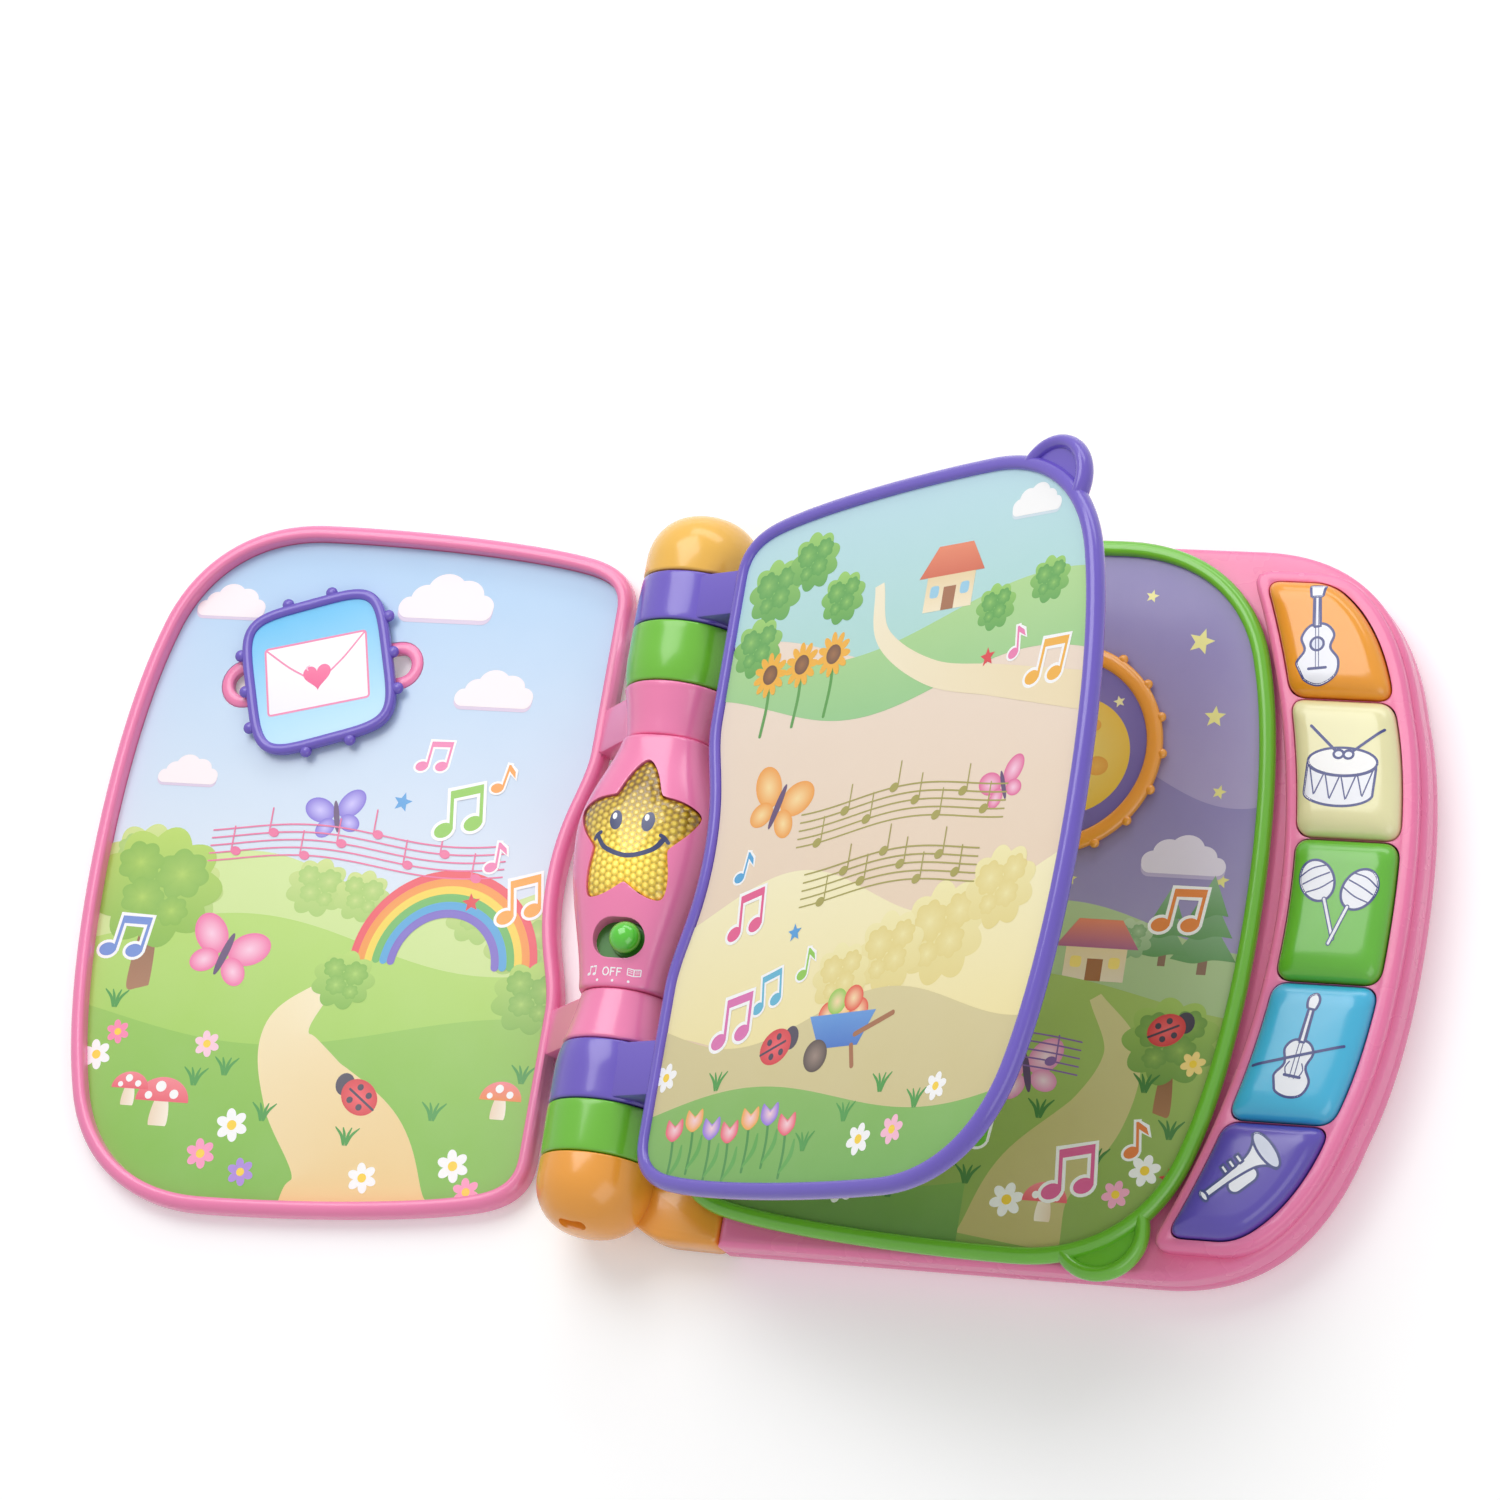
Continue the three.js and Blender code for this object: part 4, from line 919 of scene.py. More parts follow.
def petals(sheet, x, y, reach, length, width, steps, colour, count, start=0.0):
    """A ring of oval petals that point away from the middle."""
    for k in range(count):
        angle = 2 * math.pi * k / count + start
        sheet.fill(ellipse(x + reach * math.cos(angle), y + reach * math.sin(angle), length, width, steps,
                           math.degrees(angle)), colour)


def flower(sheet, x, y, size, colour):
    petals(sheet, x, y, 0.6 * size, 0.42 * size, 0.3 * size, 16, colour, 6, 0.3)
    sheet.fill(ellipse(x, y, 0.3 * size, 0.3 * size, 16), "ffd83a")


def grass(sheet, x, y, size, colour="3f9a3a"):
    for lean in (-0.7, -0.25, 0.25, 0.7):
        path = curve((x + 0.15 * lean * size, y), (x + 0.4 * lean * size, y + 0.55 * size),
                     (x + lean * size, y + size))
        sheet.stroke(path, 0.16 * size, colour, taper=True)


def toadstool(sheet, x, y, size, cap="ee5a6c"):
    stem = loop((x - 0.22 * size, y), (x - 0.16 * size, y + 0.7 * size),
                (x + 0.16 * size, y + 0.7 * size), (x + 0.24 * size, y))
    sheet.fill(stem, "fff3e0", "f1d9bd", (1, 0))
    dome = ellipse(x, y + 0.62 * size, 0.72 * size, 0.62 * size, 40)[:21]
    sheet.fill(dome, cap, "f98a94")
    for px, py, r in ((-0.3, 0.82, 0.12), (0.08, 1.0, 0.14), (0.38, 0.76, 0.1)):
        sheet.fill(ellipse(x + px * size, y + py * size, r * size, r * size, 16), "ffffff")


def butterfly(sheet, x, y, size, wing, spot, tilt=0.0):
    turn = turn_matrix(tilt)
    for side in (-1, 1):
        for px, py, rx, ry, lean in ((0.5, 0.3, 0.5, 0.36, 35), (0.38, -0.28, 0.34, 0.26, -35)):
            middle = turn @ [side * px * size, py * size] + [x, y]
            sheet.round(ellipse(*middle, rx * size, ry * size, 28, tilt + side * lean), wing, spot)
    sheet.fill(ellipse(x, y, 0.09 * size, 0.5 * size, 20, tilt), "5a3c6e")


def ladybird(sheet, x, y, size, tilt=0.0):
    def at(px, py):
        return turn_matrix(tilt) @ [px * size, py * size] + [x, y]

    dark = "3a2f4a"
    sheet.fill(ellipse(*at(0.62, 0), 0.3 * size, 0.34 * size, 20), dark)
    sheet.round(ellipse(x, y, 0.62 * size, 0.5 * size, 32, tilt), "d8323c", "f4606a")
    sheet.stroke([at(-0.6, 0), at(0.4, 0)], 0.07 * size, dark)
    for px, py in ((-0.2, 0.22), (-0.2, -0.22), (0.18, 0.24), (0.18, -0.24)):
        sheet.fill(ellipse(*at(px, py), 0.1 * size, 0.1 * size, 12), dark)


PAGE = page_outline()
CARD_EDGE = inset(PAGE, RIM_WIDTH - 2.0)


def limits(x):
    """Lowest and highest Y of the card at each X."""
    edge = resample(CARD_EDGE, 3000)
    upper = edge[edge[:, 1] >= 0]
    columns = np.linspace(upper[:, 0].min(), upper[:, 0].max(), 300)
    place = np.abs(upper[:, 0] - columns[:, None]) < 0.6
    top = np.where(place, upper[:, 1], 0).max(1)
    high = np.interp(x, columns, top)
    return -high, high


INNER_SIDE = CARD_EDGE[CARD_EDGE[:, 0] < 60]
INNER_SIDE = INNER_SIDE[np.argsort(INNER_SIDE[:, 1])]


def keep_on_card(points):
    """Draws points that overshoot the card back to its edge; the side lines hold for |Y| <= 80."""
    y = np.clip(points[:, 1], -80, 80)
    inner, outer = np.interp(y, INNER_SIDE[:, 1], INNER_SIDE[:, 0]), outer_x(CARD_EDGE, y)
    x = np.clip(points[:, 0], inner, outer)
    low, high = limits(x)
    return np.stack([x, np.clip(points[:, 1], low, high)], 1)


def band(sheet, low_line, high_line, colour, far_colour=None, x0=31.0, x1=197.0):
    """Field between two lines y(x), as a strip that runs from one colour up to the other."""
    x = np.linspace(x0, x1, 150)
    bottom, top = limits(x)
    low, high = np.clip(low_line(x), bottom, top), np.clip(high_line(x), bottom, top)
    rows = np.linspace(0, 1, 9)[:, None]
    y = low + (high - low) * rows
    points = np.stack([np.broadcast_to(x, y.shape), y], 2).reshape(-1, 2)
    near, far = np.array(srgb(colour)), np.array(srgb(far_colour or colour))
    lowest, highest = y.min(), y.max()
    share = ((points[:, 1] - lowest) / (highest - lowest))[:, None]
    k, i = np.meshgrid(np.arange(8), np.arange(len(x) - 1), indexing="ij")
    open_columns = (high - low)[:-1] + (high - low)[1:] > 0.2
    start = (k * len(x) + i)[:, open_columns].ravel()
    faces = np.stack([start, start + 1, start + len(x) + 1, start + len(x)], 1).tolist()
    sheet.add(points, faces, near * (1 - share) + far * share, sheet.layer(points))


def floor_line(x):
    return np.full_like(x, -200.0)


def cover_print():
    """Day meadow for the cover's inner side, laid out in local X; the viewer sees X mirrored."""
    sheet = Print(keep=keep_on_card, hand=-1)
    cloud(sheet, 92, 92, 11)
    cloud(sheet, 70, 62, 9)
    cloud(sheet, 168, 88, 8)
    cloud(sheet, 172, 30, 7)
    band(sheet, floor_line, lambda x: -4 + 9 * np.sin(x / 21.0 + 1.0), "b9d97a", "d5ea9c")
    for x, y, size in ((182, -2, 13), (166, -10, 11), (46, -20, 11), (63, -12, 9), (120, -6, 9),
                       (104, -8, 8)):
        crown(sheet, x, y, size, "d3e38c", "a8cf68")
    band(sheet, floor_line, lambda x: -24 + 8 * np.sin(x / 27.0 + 2.6), "8cc63f", "b7dc6a")
    tree(sheet, 176, -42, 22, "b9d95a", "86b93c")
    band(sheet, floor_line, lambda x: -52 + 7 * np.sin(x / 31.0 + 0.4), "79b83a", "9fce58")
    way = curve((88, -112), (93, -92), (112, -72), (121, -54), (110, -38), steps=16)
    sheet.ribbon(way, np.linspace(52, 5, len(way)), "efcb84", "fbeec8")
    for k, colour in enumerate(("ee4f5f", "f59a3a", "f7d848", "69b95a", "4aa6dc", "7a66c8")):
        r = 31 - 2.6 * k
        angle = np.radians(np.linspace(4, 176, 40))
        outer = np.stack([72 + r * np.cos(angle), -30 + r * np.sin(angle)], 1)
        sheet.stroke(outer, 2.7, colour)
    crown(sheet, 40, -38, 11, "b9dc6a", "7fb83f")
    crown(sheet, 105, -36, 9, "b9dc6a", "7fb83f")
    toadstool(sheet, 160, -88, 13)
    toadstool(sheet, 172, -82, 9)
    toadstool(sheet, 44, -78, 10, "f08a3c")
    for x, y, size, ink in ((134, -86, 5.5, "ffffff"), (143, -96, 5, "ff9cc4"), (128, -101, 4.6, "b08ae0"),
                            (56, -94, 5.4, "ffffff"), (50, -102, 4.6, "ff9cc4"), (86, -100, 5, "ffffff"),
                            (186, -66, 5, "ffffff"), (180, -58, 4, "ff8ab4"), (148, -60, 4.4, "ffd0e0")):
        flower(sheet, x, y, size, ink)
    for x, y in ((150, -74), (94, -90), (66, -80), (124, -84), (183, -50), (38, -66), (140, -70)):
        grass(sheet, x, y, 6)
    butterfly(sheet, 148, -30, 15, "f26aa6", "ffd0e6", 18)
    butterfly(sheet, 118, 18, 11, "7b68d8", "cfc6ff", -14)
    ladybird(sheet, 92, -74, 11, 35)
    staff(sheet, 57, 160, 8, "ef6fa0")
    for x, y, size, ink, tilt, pair in ((76, 22, 12, "8fcc4a", -8, True), (62, 34, 8, "f7a03a", 10, False),
                                        (88, 40, 8, "f07fb4", 6, True), (50, -6, 11, "f7a93a", -10, True),
                                        (184, -26, 11, "6f8fd8", 8, True), (60, 8, 8, "f07fb4", 0, False)):
        note(sheet, x, y, size, ink, tilt, pair)
    sheet.fill(star_shape(96, 24, 3.4, 10), "4a9fe0")
    sheet.fill(star_shape(66, -8, 3.2, -10), "e0303c")
    return sheet


def staff(sheet, x0, x1, y, colour, rows=5, gap=2.6, wave=2.4):
    """Wavy ruled lines with small round notes on them, in place of lines of words."""
    x = np.linspace(x0, x1, 60)
    for k in range(rows):
        sheet.stroke(np.stack([x, y - 6 + gap * k + wave * np.sin(x / 16.0)], 1), 0.5, colour)
    for k, place in enumerate(np.linspace(x0 + 9, x1 - 9, 8)):
        base = y - 6 + gap * ((k * 3) % 5) + wave * math.sin(place / 16.0)
        sheet.fill(ellipse(place, base, 1.9, 1.45, 20, 20), colour)
        sheet.stroke([(place + 1.6, base), (place + 1.6, base + 8.2)], 0.5, colour)


def purple_print():
    """Harvest fields in warm light for the second page."""
    sheet = Print(keep=keep_on_card)
    band(sheet, lambda x: 60 + 8 * np.sin(x / 26.0), lambda x: x * 0 + 200, "a9dcc9", "bfe3ee")
    cloud(sheet, 160, 98, 7, "ffffff", "d6e6f0")
    band(sheet, lambda x: 44 + 7 * np.sin(x / 24.0 + 0.8), lambda x: 66 + 9 * np.sin(x / 30.0 + 2.0),
         "8cc98a", "b5dd94")
    for x, y, size in ((48, 84, 10), (64, 92, 9), (44, 66, 9), (80, 78, 8), (150, 66, 7), (172, 72, 7)):
        crown(sheet, x, y, size, "9ed36a", "57a548")
    for x in (52, 66, 80):
        sunflower(sheet, x, 50 + 0.12 * x, 6.4, 20)
    way = curve((96, 80), (102, 62), (126, 48), (156, 42), (196, 34), steps=16)
    sheet.ribbon(way, np.linspace(4, 12, len(way)), "fbf1d4", "f3e0b6")
    cottage(sheet, 128, 68, 15)
    band(sheet, lambda x: -64 + 5 * np.sin(x / 18.0), lambda x: -20 + 10 * np.sin(x / 22.0 + 4.2),
         "f6e7a6", "fbf3c8")
    for x, y, size in ((150, -36, 15), (172, -24, 12), (128, -40, 12), (108, -46, 10)):
        crown(sheet, x, y, size, "f8efb4", "ead98a")
    band(sheet, floor_line, lambda x: -58 + 7 * np.sin(x / 20.0 + 1.4), "cdbf88", "e2d6a2")
    band(sheet, floor_line, lambda x: -84 + 6 * np.sin(x / 26.0 + 5.0), "6fae4e", "a3cf6c")
    barrow(sheet, 112, -70, 17)
    for k in range(7):
        tulip(sheet, 44 + 8.5 * k, -98 + 2.5 * math.sin(k * 1.7), 13, ("f0506a", "f7a93a", "8f6ee0")[k % 3])
    for x, y, size, ink in ((128, -98, 5, "ffffff"), (142, -96, 4.6, "ffc0d8"), (36, -72, 4.6, "ffffff"),
                            (158, -84, 4.4, "ffffff")):
        flower(sheet, x, y, size, ink)
    for x, y in ((120, -92), (150, -90), (104, -100), (134, -84), (60, -78)):
        grass(sheet, x, y, 6)
    butterfly(sheet, 66, 12, 15, "f4a03a", "ffe0a0", -20)
    butterfly(sheet, 166, 8, 10, "e65f9a", "ffd0e6", 22)
    ladybird(sheet, 84, -66, 11, 20)
    staff(sheet, 78, 168, 6, "a8a04a")
    staff(sheet, 84, 160, -14, "a8a04a")
    for x, y, size, ink, tilt, pair in ((176, 46, 11, "f7b53a", -6, True), (162, 54, 8, "f07fb4", 8, False),
                                        (60, -22, 11, "e8568f", 6, True), (56, -6, 8, "4aa6dc", -8, False),
                                        (76, -48, 9, "5fb8d8", 10, True), (62, -56, 12, "e070b4", 4, True),
                                        (92, -40, 8, "8fcc4a", 0, False)):
        note(sheet, x, y, size, ink, tilt, pair)
    sheet.fill(star_shape(150, 50, 3.2, 8), "e0303c")
    sheet.fill(star_shape(84, -30, 3.0, 8), "4a9fe0")
    return sheet


def sunflower(sheet, x, y, size, stem):
    sheet.stroke(curve((x, y - stem), (x + 0.8, y - stem / 2), (x, y)), 1.3, "4f9a3c")
    petals(sheet, x, y, 0.75 * size, 0.42 * size, 0.2 * size, 14, "f7b52c", 11)
    sheet.round(ellipse(x, y, 0.5 * size, 0.5 * size, 24), "6a3f1c", "9c6430")


def tulip(sheet, x, y, size, colour):
    sheet.stroke(curve((x, y - 0.6 * size), (x + 0.5, y), (x, y + 0.5 * size)), 1.1, "3f8f3a")
    blade = curve((x, y - 0.5 * size), (x + 0.3 * size, y - 0.1 * size), (x + 0.36 * size, y + 0.3 * size))
    sheet.stroke(blade, 1.8, "58a846", taper=True)
    cup = loop((x - 0.24 * size, y + 0.95 * size), (x - 0.28 * size, y + 0.6 * size),
               (x, y + 0.4 * size), (x + 0.28 * size, y + 0.6 * size),
               (x + 0.24 * size, y + 0.95 * size), (x, y + 0.78 * size))
    sheet.round(cup, colour, "ffd8e0")


def cottage(sheet, x, y, size, wall="fbeccb", roof="d9694a", light="9ad0ea"):
    sheet.fill(trapezoid(x, y, 0.7 * size, y + 0.8 * size, 0.7 * size), wall, "efd7a8")
    sheet.fill(trapezoid(x, y + 0.75 * size, 0.95 * size, y + 1.4 * size, 0.5 * size), roof, "ef8a66")
    sheet.fill(trapezoid(x, y, 0.18 * size, y + 0.5 * size, 0.18 * size), "a5683f")
    for side in (-1, 1):
        sheet.fill(superellipse(0.13 * size, 4, 24) + [x + side * 0.44 * size, y + 0.42 * size], light)


def barrow(sheet, x, y, size):
    """A garden barrow heaped with round fruit."""
    fruit = ((-0.4, 0.72, "e8472f"), (0.0, 0.8, "f7a93a"), (0.4, 0.74, "e8472f"),
             (-0.2, 0.95, "8fcc4a"), (0.22, 0.98, "e8472f"))
    for px, py, ink in fruit:
        sheet.round(ellipse(x + px * size, y + py * size, 0.24 * size, 0.24 * size, 24), ink, "ffe0b0")
    tray = trapezoid(x, y + 0.1 * size, 0.5 * size, y + 0.72 * size, 0.85 * size)
    sheet.fill(tray[-1:] + tray[:-1], "3f74c8", "5f9ae0")
    handle = [(x + 0.4 * size, y + 0.3 * size), (x + 1.3 * size, y + 0.62 * size)]
    sheet.stroke(handle, 0.1 * size, "a5683f")
    sheet.round(ellipse(x - 0.55 * size, y - 0.02 * size, 0.3 * size, 0.3 * size, 28), "4a3a34", "9a8478")
    leg = [(x + 0.35 * size, y + 0.1 * size), (x + 0.45 * size, y - 0.28 * size)]
    sheet.stroke(leg, 0.1 * size, "a5683f")


def green_print():
    """Evening village for the first page."""
    sheet = Print(keep=keep_on_card)
    band(sheet, lambda x: -16 + 0 * x, lambda x: x * 0 + 200, "c3b8dc", "6b60a6")
    band(sheet, lambda x: -16 + 0 * x, lambda x: 40 + 9 * np.sin(x / 17.0), "a59cc9", "8279b4")
    for x, y, size in ((60, 96, 3.4), (92, 88, 2.4), (118, 100, 3.8), (150, 98, 2.2), (176, 60, 3.6),
                       (181, 36, 2.4), (74, 74, 2.2), (48, 62, 2.8), (168, 84, 4.4), (186, 8, 2.6),
                       (138, 6, 2.2), (64, 30, 2.6)):
        sheet.fill(star_shape(x, y, size, 12 * math.sin(x)), "e9e48c")
    cloud(sheet, 172, 14, 9, "e9e2f2", "bfb4d8")
    cloud(sheet, 60, 50, 9, "d9d2ea", "b0a6d2")
    band(sheet, floor_line, lambda x: -8 + 7 * np.sin(x / 20.0 + 1.0), "9bb986", "b7cf9a")
    for x, y, size in ((184, -22, 15), (171, -20, 12), (126, -22, 13), (62, -20, 14), (48, -24, 12)):
        conifer(sheet, x, y, size, "5f9a5a", "8fb890")
    for x, y, size in ((160, -12, 6), (112, -14, 7), (74, -12, 6)):
        crown(sheet, x, y, size, "c3d8b0", "86b07c")
    cottage(sheet, 150, -26, 14, "f0dfc8", "b0638f", "ffe27a")
    cottage(sheet, 92, -24, 12, "e8e0d8", "8a6fc0", "ffe27a")
    band(sheet, floor_line, lambda x: -30 + 6 * np.sin(x / 26.0 + 3.0), "8aa94e", "a9c466")
    way = curve((136, -111), (141, -90), (158, -68), (163, -48), (152, -31), steps=16)
    sheet.ribbon(way, np.linspace(34, 4, len(way)), "c4b873", "ddd39a")
    band(sheet, floor_line, lambda x: -90 + 5 * np.sin(x / 24.0 + 1.0), "5f9440", "84b254", x1=120)
    tree(sheet, 178, -66, 15, "a8c860", "6f9a44")
    crown(sheet, 60, -58, 13, "a8c860", "6f9a44")
    for x, y, size, ink in ((176, -84, 5, "ffffff"), (168, -92, 4.4, "ffb0d0"), (134, -96, 5.4, "ffffff"),
                            (80, -96, 5, "ffffff"), (186, -50, 4, "ffe08a"), (104, -84, 4.6, "ffb0d0")):
        flower(sheet, x, y, size, ink)
    for x, y in ((140, -70), (182, -74), (120, -92), (96, -98), (160, -84), (172, -60)):
        grass(sheet, x, y, 6, "3f7f3a")
    butterfly(sheet, 134, -56, 13, "e98ac0", "ffe0f0", 15)
    ladybird(sheet, 176, -40, 10, 25)
    toadstool(sheet, 146, -102, 10)
    for x, y, size, ink, tilt, pair in ((174, -2, 11, "f08a3a", -6, True), (152, -86, 12, "e85f9f", 6, True),
                                        (172, -74, 9, "f0803a", 8, False), (118, -74, 10, "6fc23a", -6, True),
                                        (78, -76, 11, "e85f9f", 4, True)):
        note(sheet, x, y, size, ink, tilt, pair)
    sheet.fill(star_shape(184, -86, 3.4, 10), "e0303c")
    sheet.fill(star_shape(128, -36, 3.2, 10), "2f62b8")
    staff(sheet, 46, 150, -50, "8a5fae")
    return sheet


def under_print(far, near, blossom):
    """Plainer scene for a side that the open book hides."""
    sheet = Print(keep=keep_on_card)
    band(sheet, floor_line, lambda x: -10 + 8 * np.sin(x / 24.0 + 0.5), far, near)
    band(sheet, floor_line, lambda x: -50 + 7 * np.sin(x / 20.0 + 2.5), near, far)
    for x, y, size in ((60, -14, 12), (160, -10, 13), (110, -22, 9)):
        tree(sheet, x, y - 10, size)
    for x, y in ((60, 60), (130, 78), (165, 40)):
        cloud(sheet, x, y, 9)
    for k in range(9):
        flower(sheet, 44 + 15 * k, -86 + 6 * math.sin(k * 2.0), 5.5, blossom)
    for k in range(5):
        note(sheet, 60 + 24 * k, 18 + 8 * math.sin(k * 2.2), 10, ("e85f9f", "f08a3a", "6fc23a")[k % 3], 6)
    return sheet


# Pages and cover


def bead_profile(low, high, web_low, web_high):
    """Levels of a page from the underside of its web round the bead to the web's top."""
    profile = [(RIM_WIDTH, web_low), (RIM_WIDTH, low + FILLET)]
    profile += arc(RIM_WIDTH - FILLET, low + FILLET, FILLET, 0, -90, 6)[1:]
    profile += arc(RIM_ROUND, low + RIM_ROUND, RIM_ROUND, -90, -180, 10)
    profile += arc(RIM_ROUND, high - RIM_ROUND, RIM_ROUND, 180, 90, 10)
    profile += arc(RIM_WIDTH - FILLET, high - FILLET, FILLET, 90, 0, 6)
    return profile + [(RIM_WIDTH, web_high)]


def spine_radius(y):
    """Full near the ends, drawn in towards the star housing."""
    share = np.clip((y - SLOTS[0] + 2) / (SLOTS[1] + 9 - SLOTS[0] + 2), 0, 1)
    share = share * share * (3 - 2 * share)
    ease = max(0.0, y - SLOTS[2]) / (SLOTS[3] - SLOTS[2])
    return RING_MIN + (RING_MAX - RING_MIN) * share - 0.5 * ease * ease


def ring(slot, side):
    """Hinge knuckle in one slot of the spine, above (+1) or below (-1) the star."""
    low, high = SLOTS[slot] + SEAT_GAP / 2, SLOTS[slot + 1] - SEAT_GAP / 2
    bore, edge = TUBE + 0.4, ROUND_EDGE
    profile = [(bore, low)]
    profile += [(spine_radius(low) - edge + edge * math.sin(a), low + edge - edge * math.cos(a))
                for a in np.linspace(0, math.pi / 2, 5)]
    profile += [(spine_radius(y), y) for y in np.linspace(low + edge, high - edge, 12)[1:-1]]
    profile += [(spine_radius(high) - edge + edge * math.cos(a), high - edge + edge * math.sin(a))
                for a in np.linspace(0, math.pi / 2, 5)]
    profile.append((bore, high))
    if side < 0:
        profile = [(r, -y) for r, y in profile][::-1]
    return lathe(profile, closed=True)


def neck(slot, side, offset, thickness):
    """Belt from the ring's core to the page's edge."""
    half = thickness / 2 - 0.7
    sides = (PAGE_INNER - 2, PAGE_INNER + RIM_WIDTH / 2)
    edge = [(x, offset + rise) for rise in (-half, half) for x in sides]
    core = RING_MIN - 1.2
    belt = hull([*map(tuple, ellipse(0, 0, core, core, 64)), *edge])
    low, high = SLOTS[slot] + 1.0, SLOTS[slot + 1] - 1.0
    if side < 0:
        low, high = -high, -low
    return along_spine(resample(belt, 120), low, high, 1.0)


def page_solid(offset, thickness, web_low, rings, ear):
    """Whole leaf: bead and web, its knuckles with their necks, and an ear at the top or bottom."""
    low, high = offset - thickness / 2, offset + thickness / 2
    body = stack(PAGE, bead_profile(low, high, low + web_low, low + web_low + WEB))
    solids = [body]
    for slot, side in rings:
        solids += [ring(slot, side), neck(slot, side, offset, thickness)]
    if ear:
        solids += ear_solids(ear, low, high)
    return joined(*solids)


def ear_solids(ear, low, high):
    """Thumb tab: a bead round the outside of the corner circle and a thin flat plate in it."""
    middle = (low + high) / 2
    radius = EAR_RADIUS - EAR_BEAD
    centre_line = inset(PAGE, EAR_BEAD)
    upper = centre_line[centre_line[:, 1] > 0]
    angle = np.radians(np.linspace(-90, 200, 200))
    circle = np.stack([EAR_PLACE[0] + radius * np.cos(angle), EAR_PLACE[1] + radius * np.sin(angle)], 1)
    path = np.array([point for point in circle if outside(point, upper)])
    back = [centre_line[np.argmin(np.linalg.norm(centre_line - point, axis=1))]
            for point in np.linspace(path[-1], path[0], 16)]
    plate = np.vstack([path, back])
    plate = plate[np.linalg.norm(plate - np.roll(plate, 1, 0), axis=1) > 0.01]
    bead = tube(raised(path, middle) * [1, ear, 1], EAR_BEAD, (high - low) / 2)
    if ear < 0:
        plate = (plate * [1, -1])[::-1]
    return [bead, prism(plate, middle - EAR_PLATE, middle + EAR_PLATE)]


def outside(point, line):
    """True where a point lies beyond the page's centre line at its upper outer corner."""
    near = line[np.argmin(np.linalg.norm(line - point, axis=1))]
    inside = np.array([PAGE_REACH - 70.0, PAGE_HALF - 70.0])
    return np.linalg.norm(point - inside) > np.linalg.norm(near - inside) - 1.2


def card(low):
    return stack(inset(PAGE, RIM_WIDTH + CARD_MARGIN), [(0, low), (0, low + CARD_THICK)])


def leaf_cards(prefix, place, web_low, prints, looks):
    """Top and under card on a page's web, each with its print on the outer face."""
    levels = (web_low + WEB + CARD_GAP, web_low - CARD_THICK - CARD_GAP)
    for name, side, low, sheet, look in zip(("top", "under"), (1, -1), levels, prints, looks):
        node = f"{prefix}_{name}_card"
        make(f"{prefix}_{name}_panel", card(low), place, prefix, printed_card(*look), [node])
        face = low + CARD_THICK if side > 0 else low
        sheet.build(f"{prefix}_{name}_print", laid(place, face, side), prefix)


def make_green_page():
    place = leaf(0)
    web_low = GREEN_OFFSET - PAGE_THICK / 2 + GREEN_WEB
    solid = page_solid(GREEN_OFFSET, PAGE_THICK, GREEN_WEB, [(1, 1), (2, -1)], -1)
    make("green_page", solid, place, "green_page", green, ["green_page_frame"])
    looks = (("night_card", "a9b98c", "857cb8", -20, 60), ("green_under", "cfe7a0", "bfe3f4", -60, 60))
    prints = (green_print(), under_print("8cc63f", "b9dc6a", "ff9cc4"))
    leaf_cards("green_page", place, web_low, prints, looks)
    make_dial(place, web_low + WEB + 0.9)


def make_dial(place, low):
    """Turning disc: ring with ball bumps round it, violet field and a plain spotted moon."""
    high = GREEN_OFFSET + PAGE_THICK / 2 + 0.5
    x, y = DIAL_PLACE
    crest = high - 1.2
    profile = [(0.6, low), (0, low + 0.6)]
    profile += arc(DIAL_RIM / 2, crest, DIAL_RIM / 2, 180, 0, 14)
    profile += [(DIAL_RIM, high - 1.4)]
    profile = [(a, b if b < crest else crest + (b - crest) * 0.48) for a, b in profile]
    solids = [stack(ellipse(x, y, DIAL_RADIUS, DIAL_RADIUS, 180), profile)]
    reach = DIAL_RADIUS + 0.2
    for k in range(DIAL_LOBES * 2):
        a = math.pi * k / DIAL_LOBES
        solids.append(ball(x + reach * math.cos(a), y + reach * math.sin(a), (low + high) / 2, 1.6, 0.72))
    make("moon_dial_ring", joined(*solids), place, "dial", orange, ["moon_dial"])
    sheet = Print(start=0.01)
    inner = DIAL_RADIUS - DIAL_RIM - 0.1
    sheet.round(ellipse(x, y, inner, inner, 96), "6a5aa8", "9a8cc8")
    for sx, sy, r in ((-18, 14, 3.0), (-20, -8, 2.2), (4, 22, 2.6), (18, 16, 2.0), (-6, -22, 2.4)):
        sheet.fill(star_shape(x + sx, y + sy, r, sx), "f3ecaa")
    moon = (x + 5.0, y - 2.0)
    sheet.round(ellipse(*moon, 19.0, 19.0, 72), "f2c63a", "fbe98a", (moon[0] - 4, moon[1] + 4))
    for sx, sy, r in ((-9, 7, 3.4), (6, 10, 2.4), (9, -3, 3.6), (-4, -9, 2.8), (-12, -4, 2.0), (2, 1, 2.0)):
        sheet.round(ellipse(moon[0] + sx, moon[1] + sy, r, r * 0.86, 24), "eda83a", "f5bd50")
    sheet.build("moon_dial_print", laid(place, high - 1.38), "dial")


